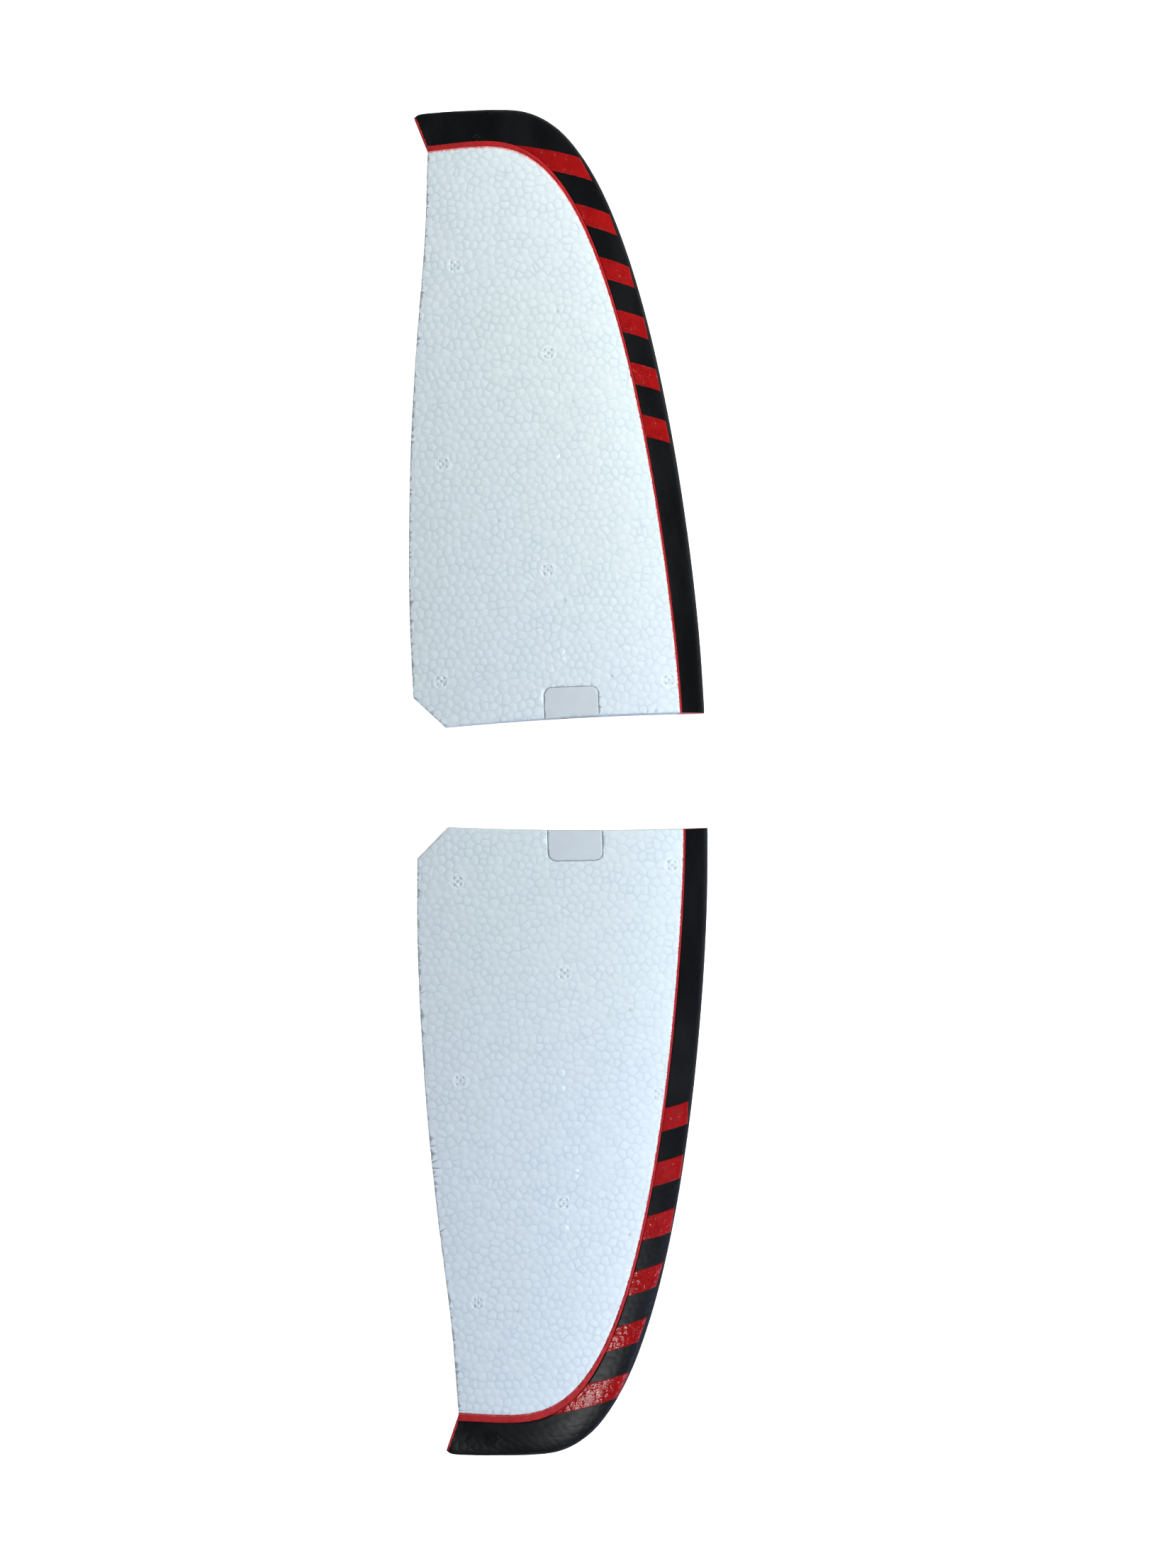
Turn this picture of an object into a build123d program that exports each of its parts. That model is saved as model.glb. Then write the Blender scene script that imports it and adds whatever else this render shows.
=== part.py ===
from build123d import *
import math
import os

# A pair of moulded foam wing halves for a small radio-controlled glider, laid side by side with
# their root ends facing across a gap. +X points to the leading edge, +Y along the left wing, +Z up.
# The flat undersides lie on z = 0 and the origin is midway between the halves, on that plane.

# Overall size, mm
HALF_SPAN = 374.4      # mid plane to the wing tip
CHORD = 162.6          # leading to trailing edge, at the widest
ROOT_Y = 27.6          # mid plane to the root's trailing corner
THICKNESS_RATIO = 0.0875
TRAIL_THICKNESS = 1.0

# Planform, mm
LEAD_BEND_Y = 39.3     # the leading edge runs straight up to here, then curves to the tip
LEAD_POWERS = (2.60, 1.50)
TIP_CREST_X = -25.8    # where the tip reaches furthest out
TRAIL_SWEEP = 16.3     # how far forward the trailing edge has come at the tip notch
TRAIL_SHAPE = ((0.0, 0.09), (0.22, 0.0), (0.47, 0.16), (0.66, 0.45), (0.85, 0.83), (1.0, 1.0))
NOTCH_Y = 351.3        # inner end of the slanting notch in the tip's trailing corner
NOTCH_SLANT = 7.2      # how far aft the notch line runs
TIP_CORNER_DROP = 3.7  # the tip's trailing corner lies this far inside the crest
ROOT_RISE = 4.3        # the root line slants outboard by this much at the leading edge
ROOT_HOLLOW = 1.4      # depth of the shallow hollow in the root line
CHAMFER_CHORD = 17.1   # cut corner at the root's trailing end, along the chord
CHAMFER_SPAN = 16.1    # and along the span

# Section shape, as shares of the local thickness or chord
NOSE_SHARE = 0.25
NOSE_CURVE_SHARE = 0.06
UNDERCUT = 0.4         # the sections reach this far below z = 0 and are then planed flat

# Paint and tape, mm
FILM = 0.25            # black and red paint film
NOSE_BAND = 13.3       # width of the black band at the root
TIP_BAND = 19.8        # and at the tip
STRIPE_ROOT = 1.1      # width of the red stripe at the root
STRIPE_TIP = 3.6       # and at the tip
BORDER_CREST_X = -44.9
BORDER_DIP = 0.6       # the paint's edge falls this much between its crest and the tip notch
BORDER_POWERS = (3.04, 1.355)
TAPE = 0.15            # thickness of the trim tape
TAPE_RIM = 2.4         # bare black rim between the tapes and the leading edge
TAPE_FIRST_Y = 188.7   # middle of the innermost tape at the leading edge
TAPE_PITCH = 29.4
TAPE_WIDTH = 12.6
TAPE_SLOPE = 0.21
TAPES = 6

# Joiner parts, mm
SPAR_X = 1.6
SPAR_Z = 5.0
TUBE_LENGTH = 251.0
TUBE_OUTER = 6.0
ROD_DIAMETER = 4.0
ROD_PLAY = 0.05        # radial clearance of the rod in the tube
ROD_LENGTH = 248.0
ROD_RECESS = 2.0       # the stowed rod's end lies this far inside the tube's mouth
PLUG_LENGTH = 5.0      # the plug closes the far end of the tube
STRIP_GAP = 0.1        # the strip stays this far inside the underside and below the tube
PLATE_X = 7.2
PLATE_WIDTH = 29.6
PLATE_LENGTH = 16.4
PLATE_THICKNESS = 1.2
PLATE_CORNER = 4.2
BOX_INSET = 1.2        # the box is this much smaller than the plate, all round
BOX_FLOOR_Z = 1.4
SOCKET_WIDTH = 10.4
SOCKET_HEIGHT = 5.0
SOCKET_DEPTH = 12.5
SOCKET_FROM_SPAR = 11.2
SOCKET_Z = 5.2

# Worked out from the sizes above
LEAD_X = CHORD / 2
TRAIL_X = -CHORD / 2
ROOT_MID_Y = ROOT_Y + ROOT_RISE / 2 + ROOT_HOLLOW
TUBE_Y = ROOT_MID_Y + 0.6
SPAR_END_Y = TUBE_Y + TUBE_LENGTH + PLUG_LENGTH
TUBE_INNER = ROD_DIAMETER + 2 * ROD_PLAY
FAR = 2 * HALF_SPAN
TALL = 60.0


def hermite(knots, t):
    """Smooth curve through (t, value) knots, at t."""
    i = max(k for k in range(len(knots) - 1) if knots[k][0] <= t or k == 0)

    def slope(k):
        low, high = max(k - 1, 0), min(k + 1, len(knots) - 1)
        return (knots[high][1] - knots[low][1]) / (knots[high][0] - knots[low][0])

    (t0, v0), (t1, v1) = knots[i], knots[i + 1]
    step = t1 - t0
    u = (t - t0) / step
    bend = (1 - u) ** 2 * u * slope(i) + (u - 1) * u**2 * slope(i + 1)
    return v0 * (1 + 2 * u) * (1 - u) ** 2 + v1 * (3 - 2 * u) * u**2 + step * bend


def rounded(centre, reach, powers, turn):
    """Point on a quarter of a superellipse: turn 0 is its foremost point, 90 its outermost."""
    c, s = math.cos(math.radians(turn)), math.sin(math.radians(turn))
    return (centre[0] + reach[0] * c ** (2 / powers[0]), centre[1] + reach[1] * s ** (2 / powers[1]))


def lead_point(turn):
    centre = (TIP_CREST_X, LEAD_BEND_Y)
    reach = (LEAD_X - TIP_CREST_X, HALF_SPAN - LEAD_BEND_Y)
    return rounded(centre, reach, LEAD_POWERS, turn)


def trail_x(y):
    share = min(max((y - ROOT_Y) / (NOTCH_Y - ROOT_Y), 0.0), 1.0)
    return TRAIL_X + TRAIL_SWEEP * hermite(TRAIL_SHAPE, share)


def ribs():
    """Pairs of (trailing point, leading point). They lie across the chord at the root and fan
    round the tip, and the last pair is the notch line."""
    root = ROOT_Y - 6.0
    pairs = [((trail_x(root), root), (LEAD_X, root))]
    for turn in (0, 12, 22, 32, 42, 51):
        lead = lead_point(max(turn, 0.01))
        pairs.append(((trail_x(lead[1]), lead[1]), lead))
    fan_y = pairs[-1][0][1]
    corner = (trail_x(NOTCH_Y) - NOTCH_SLANT, HALF_SPAN - TIP_CORNER_DROP)
    leads = [lead_point(turn) for turn in (59, 66, 73, 79, 85, 89.99)]
    leads += [(TIP_CREST_X - 20, HALF_SPAN - 0.15), (TIP_CREST_X - 33, HALF_SPAN - 0.75)]
    leads += [(corner[0] + 3.6, HALF_SPAN - 1.7), corner]
    for i, lead in enumerate(leads, start=1):
        y = fan_y + (NOTCH_Y - fan_y) * (1 - (1 - i / len(leads)) ** 4)
        pairs.append(((trail_x(y), y), lead))
    return pairs


def section(trail, lead, film, floor):
    """One wing section, upright on the line from lead to trail, shrunk by a film's thickness."""
    chord = math.dist(trail, lead)
    along = ((trail[0] - lead[0]) / chord, (trail[1] - lead[1]) / chord)
    thick = THICKNESS_RATIO * chord - film
    nose = NOSE_SHARE * thick
    reach = chord + (2 * film)
    start = film

    def at(share, z):
        d = start + share * (reach - start)
        return (lead[0] + along[0] * d, lead[1] + along[1] * d, z)

    def top(s):
        bulge = 10 * (0.2969 * math.sqrt(s) - 0.1260 * s - 0.3516 * s**2 + 0.2843 * s**3 - 0.1036 * s**4)
        rear = TRAIL_THICKNESS - film
        return nose * (1 - s) ** 3 + (thick - 0.343 * nose) * bulge + rear * s

    def under(s):
        return (nose - floor) * (1 - math.sqrt(s / NOSE_CURVE_SHARE)) ** 2 + floor

    crown = [(i / 9) ** 2 for i in range(9, -1, -1)]
    keel = [NOSE_CURVE_SHARE * (i / 4) ** 2 for i in range(1, 5)]
    points = [at(s, top(s)) for s in crown] + [at(s, under(s)) for s in keel]
    rim = [Spline(*points), Line(points[-1], at(1, floor)), Line(at(1, floor), points[0])]
    return Wire(rim)


def panel(film=0.0, floor=-UNDERCUT):
    """The whole panel as one solid, before its root end is trimmed."""
    return Solid.make_loft([section(trail, lead, film, floor) for trail, lead in ribs()])


def prism(*edges):
    """Tall upright prism over a closed outline."""
    return extrude(make_face(Wire(edges)), TALL, both=True)


def root_cut():
    """Everything inboard of the root line and of its cut-off trailing corner."""
    corner = (trail_x(ROOT_Y) + CHAMFER_CHORD, ROOT_Y)
    front = (LEAD_X, ROOT_Y + ROOT_RISE)
    mid = ((corner[0] + front[0]) / 2, ROOT_MID_Y)
    line = ThreePointArc(corner, mid, front)
    near = [Line(front, (FAR, front[1])), Line((FAR, front[1]), (FAR, -FAR))]
    near += [Line((FAR, -FAR), (corner[0], -FAR)), Line((corner[0], -FAR), corner)]
    slope = CHAMFER_SPAN / CHAMFER_CHORD
    outer = (corner[0] - FAR, corner[1] + FAR * slope)
    wedge = [Line(corner, outer), Line(outer, (outer[0], -FAR)), Line((outer[0], -FAR), (corner[0], -FAR))]
    wedge.append(Line((corner[0], -FAR), corner))
    return prism(line, *near) + prism(*wedge)


def border_line(width_root, width_tip):
    """Edge of the paint from inboard of the root to aft of the tip, as a list of edges."""
    centre = (BORDER_CREST_X, ROOT_Y + ROOT_RISE)
    reach = (LEAD_X - width_root - BORDER_CREST_X, HALF_SPAN - width_tip - centre[1])
    turns = (0.01, 12, 24, 36, 48, 58, 67, 75, 83, 90)
    line = Spline(*[rounded(centre, reach, BORDER_POWERS, turn) for turn in turns])
    foot, crest = line @ 0, line @ 1
    dip = (TRAIL_X, crest.Y - BORDER_DIP)
    return [Line((foot.X, 0), foot), line, Line(crest, dip)]


def painted_part(width_root, width_tip):
    """Prism over all that lies forward and outboard of an edge of the paint."""
    line = border_line(width_root, width_tip)
    start, end = line[0] @ 0, line[-1] @ 1
    corners = [end, (end.X, FAR), (FAR, FAR), (FAR, start.Y), start]
    return prism(*line, *[Line(a, b) for a, b in zip(corners, corners[1:])])


def stripe_part():
    """Prism over the red stripe, between the two edges of the paint."""
    inner = border_line(NOSE_BAND + STRIPE_ROOT, TIP_BAND + STRIPE_TIP)
    outer = border_line(NOSE_BAND, TIP_BAND)
    caps = [Line(inner[0] @ 0, outer[0] @ 0), Line(inner[-1] @ 1, outer[-1] @ 1)]
    return prism(*inner, *outer, *caps)


def rim_inside(inset):
    """Prism over all that lies at least this far behind the leading edge and the tip."""
    turns = (0.01, 12, 24, 36, 48, 58, 67, 75, 83, 89.99)
    centre = (TIP_CREST_X, LEAD_BEND_Y)
    reach = (LEAD_X - TIP_CREST_X - inset, HALF_SPAN - LEAD_BEND_Y - inset)
    line = Spline(*[rounded(centre, reach, LEAD_POWERS, turn) for turn in turns])
    foot, crest = line @ 0, line @ 1
    ends = [Line((foot.X, -FAR), foot), line, Line(crest, (-FAR, crest.Y))]
    ends += [Line((-FAR, crest.Y), (-FAR, -FAR)), Line((-FAR, -FAR), (foot.X, -FAR))]
    return prism(*ends)


def tape_strip(index):
    """Slanting prism over one trim tape, across the black band."""
    y = TAPE_FIRST_Y + index * TAPE_PITCH
    turns = [k * 0.5 for k in range(1, 180)]
    edge = min((lead_point(turn) for turn in turns), key=lambda p: abs(p[1] - y))
    strip = Box(FAR, TAPE_WIDTH, TALL)
    angle = -math.degrees(math.atan(TAPE_SLOPE))
    return Pos(edge[0] - TAPE_RIM, y, 0) * Rot(0, 0, angle) * strip


def upright_box(x, y, z):
    """Box from three (low, high) pairs."""
    size = [high - low for low, high in (x, y, z)]
    middle = [(low + high) / 2 for low, high in (x, y, z)]
    return Pos(*middle) * Box(*size)


def spar_rod(diameter, start, length):
    """Cylinder along the spar line, from start outboard."""
    return Pos(SPAR_X, start + length / 2, SPAR_Z) * Rot(90, 0, 0) * Cylinder(diameter / 2, length)


def plate_prism(inset, depth):
    """Prism over the cover plate's outline, which is open at the root and round at the far corners."""
    width, corner = PLATE_WIDTH - 2 * inset, PLATE_CORNER - inset
    length = 2 * (depth - inset)
    outline = Pos(PLATE_X, ROOT_MID_Y) * RectangleRounded(width, length, corner)
    return extrude(outline, TALL, both=True)


def paint(outer, inner):
    """Black film over the nose and the tip, above and below, and the red stripe on top."""
    black = painted_part(NOSE_BAND, TIP_BAND)
    sunk = Pos(0, 0, -FILM) * outer
    return {"nose_skin": (outer & black) - inner, "border_stripe": (outer & stripe_part()) - sunk}


def tapes(outer):
    """Strips of tape on top of the black band, numbered from the root."""
    black = painted_part(NOSE_BAND, TIP_BAND)
    taped = (Pos(0, 0, TAPE) * outer & black & rim_inside(TAPE_RIM)) - outer
    pieces = {}
    for index in range(TAPES):
        strip = taped & tape_strip(index)
        pieces[f"trim_tape_{index + 1}"] = strip.solids().sort_by(SortBy.VOLUME)[-1]
    return pieces


def joiner_block(sunk):
    """Solid block that fills the pocket under the cover plate."""
    pocket = plate_prism(BOX_INSET, PLATE_LENGTH)
    return sunk & pocket & upright_box((-FAR, FAR), (0, FAR), (BOX_FLOOR_Z, TALL))


def joiner_parts(block, tube_seat, slot_x, slot_y):
    """Box, tube, plug and strip at one wing's root."""
    socket_x = SPAR_X + SOCKET_FROM_SPAR
    socket = upright_box(
        (socket_x - SOCKET_WIDTH / 2, socket_x + SOCKET_WIDTH / 2),
        (0, ROOT_MID_Y + SOCKET_DEPTH),
        (SOCKET_Z - SOCKET_HEIGHT / 2, SOCKET_Z + SOCKET_HEIGHT / 2),
    )
    tube = spar_rod(TUBE_OUTER, TUBE_Y, TUBE_LENGTH) - spar_rod(TUBE_INNER, 0, FAR)
    strip_z = (STRIP_GAP, SPAR_Z - TUBE_OUTER / 2 - STRIP_GAP)
    return {
        "joiner_box": block - socket - tube_seat,
        "spar_tube": tube,
        "tube_end_plug": spar_rod(TUBE_OUTER, TUBE_Y + TUBE_LENGTH, PLUG_LENGTH),
        "spar_slot_strip": upright_box(slot_x, slot_y, strip_z),
    }


def left_wing():
    """All pieces of the left half, by name."""
    away = root_cut()
    outer = (panel() & upright_box((-FAR, FAR), (-FAR, FAR), (0, TALL))) - away
    inner = (panel(FILM, FILM) - away) & outer
    pieces = paint(outer, inner) | tapes(outer)

    sunk = Pos(0, 0, -PLATE_THICKNESS) * outer
    pieces["cover_plate"] = (outer & plate_prism(0, PLATE_LENGTH)) - sunk
    block = joiner_block(sunk)
    tube_seat = spar_rod(TUBE_OUTER, 0, SPAR_END_Y)
    slot_x = (SPAR_X - TUBE_OUTER / 2, SPAR_X + TUBE_OUTER / 2)
    slot_y = (ROOT_MID_Y + PLATE_LENGTH - BOX_INSET, SPAR_END_Y)
    pieces |= joiner_parts(block, tube_seat, slot_x, slot_y)

    black = painted_part(NOSE_BAND, TIP_BAND)
    foam = (outer - black - pieces["border_stripe"]) + (inner & black)
    slot = upright_box(slot_x, slot_y, (-TALL, SPAR_Z))
    pieces["foam_core"] = foam - pieces["cover_plate"] - block - tube_seat - slot
    return pieces


def main():
    os.makedirs("parts", exist_ok=True)
    for name, piece in left_wing().items():
        export_step(piece, f"parts/left_{name}.step")
        export_step(mirror(piece, about=Plane.XZ), f"parts/right_{name}.step")
    rod = spar_rod(ROD_DIAMETER, TUBE_Y + ROD_RECESS, ROD_LENGTH)
    export_step(rod, "parts/joiner_rod.step")


main()
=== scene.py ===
import logging
import math
from dataclasses import dataclass, field
from enum import Enum
from typing import Callable, Sequence

import bpy
import numpy as np
from mathutils import Matrix, Vector
from mathutils.geometry import delaunay_2d_cdt


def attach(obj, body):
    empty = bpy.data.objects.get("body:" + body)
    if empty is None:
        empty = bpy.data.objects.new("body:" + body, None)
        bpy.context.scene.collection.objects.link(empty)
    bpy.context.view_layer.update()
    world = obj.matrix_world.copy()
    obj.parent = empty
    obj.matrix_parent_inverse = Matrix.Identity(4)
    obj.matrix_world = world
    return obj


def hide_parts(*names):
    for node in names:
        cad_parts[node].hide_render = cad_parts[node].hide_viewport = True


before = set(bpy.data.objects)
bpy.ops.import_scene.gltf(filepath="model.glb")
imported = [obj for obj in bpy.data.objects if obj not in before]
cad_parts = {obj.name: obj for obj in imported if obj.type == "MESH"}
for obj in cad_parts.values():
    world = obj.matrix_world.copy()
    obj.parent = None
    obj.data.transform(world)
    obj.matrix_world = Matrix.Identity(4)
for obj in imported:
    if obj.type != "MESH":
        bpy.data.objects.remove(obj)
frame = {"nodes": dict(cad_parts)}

LOG = logging.getLogger("wing_halves")
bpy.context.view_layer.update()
MM = 0.001
NET_MERGE = 1e-5
SLIVER = 1e-7
PAINTED_RELIEF = (0.05, 0.5, 0.05)

Array = np.ndarray


class Side(Enum):
    """The two wing halves, by the sign of their Y."""

    LEFT = 1.0
    RIGHT = -1.0

    @property
    def label(self) -> str:
        """Name used in node and body names."""
        return self.name.lower()

    @property
    def body(self) -> str:
        """Name of the moving body this half belongs to."""
        return f"{self.label}_wing"


# ---------------------------------------------------------------- curves and meshes


def smooth_knots(knots: Sequence[tuple[float, float]], t: Array) -> Array:
    """Cubic through (t, value) knots; each knot's slope is that of the line joining its neighbours.

    Args:
        knots: pairs of parameter and value, in rising order.
        t: parameters to evaluate at.

    Returns:
        The curve's values at t.
    """
    k = np.array(knots, dtype=float)
    low = np.maximum(np.arange(len(k)) - 1, 0)
    high = np.minimum(np.arange(len(k)) + 1, len(k) - 1)
    slope = (k[high, 1] - k[low, 1]) / (k[high, 0] - k[low, 0])
    i = np.clip(np.searchsorted(k[:, 0], t, side="right") - 1, 0, len(k) - 2)
    step = k[i + 1, 0] - k[i, 0]
    u = (t - k[i, 0]) / step
    bend = (1 - u) ** 2 * u * slope[i] + (u - 1) * u**2 * slope[i + 1]
    return k[i, 1] * (1 + 2 * u) * (1 - u) ** 2 + k[i + 1, 1] * (3 - 2 * u) * u**2 + step * bend


def through_points(points: Array, u: Array) -> Array:
    """Catmull-Rom curve through evenly numbered points.

    Args:
        points: (n, 2) points.
        u: parameters from 0 to n - 1.

    Returns:
        (len(u), 2) positions.
    """
    index = np.arange(len(points), dtype=float)
    columns = [smooth_knots(list(zip(index, points[:, c])), u) for c in range(points.shape[1])]
    return np.stack(columns, axis=1)


def bisect(inside: Callable[[Array], Array], low: Array, high: Array, steps: int = 34) -> Array:
    """Halves each interval until it closes on the point where inside turns from true to false.

    Args:
        inside: tells for each parameter whether it is still on the low side.
        low: parameters on the low side.
        high: parameters on the high side.
        steps: number of halvings.

    Returns:
        The crossing parameters.
    """
    low, high = low.astype(float).copy(), high.astype(float).copy()
    for _ in range(steps):
        middle = (low + high) / 2
        keep = inside(middle)
        low = np.where(keep, middle, low)
        high = np.where(keep, high, middle)
    return (low + high) / 2


def soft_step(value: Array, start: float, end: float) -> Array:
    """Rises smoothly from 0 at start to 1 at end: 3t^2 - 2t^3."""
    t = np.clip((value - start) / (end - start), 0.0, 1.0)
    return t * t * (3 - 2 * t)


def waves(t: Array, seed: int, lengths: Sequence[float]) -> Array:
    """Sum of sines with given wavelengths and seeded phases, scaled to about -1 to 1.

    Args:
        t: places along the wave.
        seed: random seed of the phases.
        lengths: wavelengths.

    Returns:
        The sum at each place.
    """
    phase = np.random.default_rng(seed).uniform(0, 2 * np.pi, len(lengths))
    total = sum(np.sin(2 * np.pi * t / length + p) for length, p in zip(lengths, phase))
    return total / math.sqrt(len(lengths))


def resample(path: Array, step: float) -> Array:
    """Points at even steps along an open path, ends kept.

    Args:
        path: (n, 2) points.
        step: wanted distance between points.

    Returns:
        (m, 2) points.
    """
    length = np.r_[0, np.cumsum(np.linalg.norm(np.diff(path, axis=0), axis=1))]
    t = np.linspace(0, length[-1], max(2, int(round(length[-1] / step)) + 1))
    return np.stack([np.interp(t, length, path[:, c]) for c in range(path.shape[1])], axis=1)


def circle(centre: tuple[float, float], radius: float, count: int) -> Array:
    """Anticlockwise ring of points."""
    t = np.arange(count) * 2 * np.pi / count
    return np.stack([centre[0] + radius * np.cos(t), centre[1] + radius * np.sin(t)], axis=1)


def in_loop(points: Array, loop: Array) -> Array:
    """Even-odd test of points against a closed loop, one loop edge at a time.

    Args:
        points: (n, 2) points.
        loop: (m, 2) corners.

    Returns:
        Which points lie inside.
    """
    x, y = points[:, 0], points[:, 1]
    hit = np.zeros(len(points), dtype=bool)
    for (x0, y0), (x1, y1) in zip(loop, np.roll(loop, -1, axis=0)):
        if y0 != y1:
            cross = (y0 > y) != (y1 > y)
            hit ^= cross & (x < (x1 - x0) * (y - y0) / (y1 - y0) + x0)
    return hit


def grid_quads(rows: int, columns: int, wrap: bool = False) -> Array:
    """Quads of a grid whose points run along columns first; wrap joins the last column to the first.

    Args:
        rows: points down the grid.
        columns: points along a row.
        wrap: whether the last column joins the first.

    Returns:
        (m, 4) point numbers.
    """
    last = columns if wrap else columns - 1
    r, c = np.meshgrid(np.arange(rows - 1), np.arange(last), indexing="ij")
    after = (c + 1) % columns
    here, below = r * columns, (r + 1) * columns
    quads = np.stack([here + c, here + after, below + after, below + c], axis=-1)
    return quads.reshape(-1, 4)


def rim_edges(faces: Array) -> Array:
    """Directed edges that only one face uses.

    Args:
        faces: (n, k) point numbers.

    Returns:
        (m, 2) point numbers, in the faces' own direction.
    """
    after = np.roll(faces, -1, axis=1)
    edges = np.concatenate([np.stack([faces[:, k], after[:, k]], 1) for k in range(faces.shape[1])])
    key = np.sort(edges, axis=1)
    code = key[:, 0] * (int(faces.max()) + 1) + key[:, 1]
    _, where, count = np.unique(code, return_inverse=True, return_counts=True)
    return edges[count[where] == 1]


@dataclass
class MeshData:
    """Points, faces and per-point values of a piece, in mm, drawn as on the left half."""

    points: Array
    faces: list
    material: list
    smooth: list
    values: dict[str, Array] = field(default_factory=dict)
    face_values: dict[str, Array] = field(default_factory=dict)

    def outwards(self) -> "MeshData":
        """Turns every face over if the piece's signed volume is negative.

        Returns:
            The same mesh, facing outwards.
        """
        volume = 0.0
        for face in self.faces:
            corner = self.points[face]
            volume += float(np.sum(np.cross(corner[1:-1], corner[2:]) @ corner[0]))
        if volume < 0:
            self.faces = [face[::-1] for face in self.faces]
        return self

    def build(self, name: str, side: Side, materials: Sequence[bpy.types.Material]) -> bpy.types.Object:
        """Makes the mesh object; on the right half it is mirrored in Y and its faces are turned over.

        Args:
            name: name of the new object.
            side: which half the piece belongs to.
            materials: materials in the order that self.material numbers them.

        Returns:
            The new object, placed at the origin.
        """
        points = self.points * MM
        points[:, 1] *= side.value
        faces = self.faces if side is Side.LEFT else [face[::-1] for face in self.faces]
        mesh = bpy.data.meshes.new(name)
        mesh.from_pydata(points, [], faces)
        mesh.polygons.foreach_set("material_index", np.array(self.material, dtype=np.int32))
        mesh.polygons.foreach_set("use_smooth", np.array(self.smooth, dtype=bool))
        for label, value in self.values.items():
            layer = mesh.attributes.new(label, "FLOAT", "POINT")
            layer.data.foreach_set("value", np.ascontiguousarray(value, dtype=np.float32))
        for label, value in self.face_values.items():
            layer = mesh.attributes.new(label, "FLOAT", "FACE")
            layer.data.foreach_set("value", np.ascontiguousarray(value, dtype=np.float32))
        for material in materials:
            mesh.materials.append(material)
        mesh.validate(clean_customdata=False)
        mesh.update()
        piece = bpy.data.objects.new(name, mesh)
        bpy.context.scene.collection.objects.link(piece)
        return piece


def closed_sheet(plan: Array, faces: Array, top: Array, under: Array, values: dict[str, Array]) -> MeshData:
    """Closes a flat net into a solid: a copy at the top heights, a copy turned over at the under
    heights, and one wall quad below each rim edge.

    Args:
        plan: (n, 2) points.
        faces: (m, k) anticlockwise faces over the points.
        top: heights of the upper copy.
        under: heights of the lower copy.
        values: per-point values, used on both copies.

    Returns:
        The solid; its walls have material 1, the rest material 0.
    """
    count = len(plan)
    points = np.concatenate([np.c_[plan, top], np.c_[plan, under]])
    rim = rim_edges(faces)
    walls = np.stack([rim[:, 0], rim[:, 0] + count, rim[:, 1] + count, rim[:, 1]], axis=1)
    body = faces.tolist() + (faces[:, ::-1] + count).tolist()
    material = [0] * len(body) + [1] * len(walls)
    smooth = [True] * len(body) + [False] * len(walls)
    doubled = {label: np.r_[value, value] for label, value in values.items()}
    return MeshData(points, body + walls.tolist(), material, smooth, doubled)


def triangulate(
    loops: Sequence[Array], lines: Sequence[Array], points: Array, edges: Array
) -> tuple[Array, Array]:
    """Fills the first loop with triangles that keep every given loop, line and edge.

    Args:
        loops: closed loops; the first one bounds the net.
        lines: open lines inside it.
        points: extra points.
        edges: index pairs into the extra points.

    Returns:
        The net's points and its anticlockwise triangles.
    """
    stack, pairs, outline = [points], [edges], []
    start = len(points)
    for number, loop in enumerate(loops):
        index = np.arange(len(loop)) + start
        stack.append(loop)
        if number == 0:
            outline = index.tolist()
        else:
            pairs.append(np.stack([index, np.roll(index, -1)], axis=1))
        start += len(loop)
    for line in lines:
        index = np.arange(len(line)) + start
        stack.append(line)
        pairs.append(np.stack([index[:-1], index[1:]], axis=1))
        start += len(line)
    vectors = [Vector(p) for p in np.concatenate(stack).tolist()]
    result = delaunay_2d_cdt(vectors, np.concatenate(pairs).tolist(), [outline], 0, NET_MERGE, False)
    plan = np.array([v[:] for v in result[0]])
    tris = np.array(result[2], dtype=np.int64)
    a, b, c = plan[tris[:, 0]], plan[tris[:, 1]], plan[tris[:, 2]]
    area = (b[:, 0] - a[:, 0]) * (c[:, 1] - a[:, 1]) - (b[:, 1] - a[:, 1]) * (c[:, 0] - a[:, 0])
    tris = np.where(area[:, None] < 0, tris[:, ::-1], tris)[np.abs(area) > SLIVER]
    tris = tris[in_loop(plan[tris].mean(axis=1), loops[0])]
    used, again = np.unique(tris, return_inverse=True)
    return plan[used], again.reshape(-1, 3)


# ---------------------------------------------------------------- form of a wing half


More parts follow.
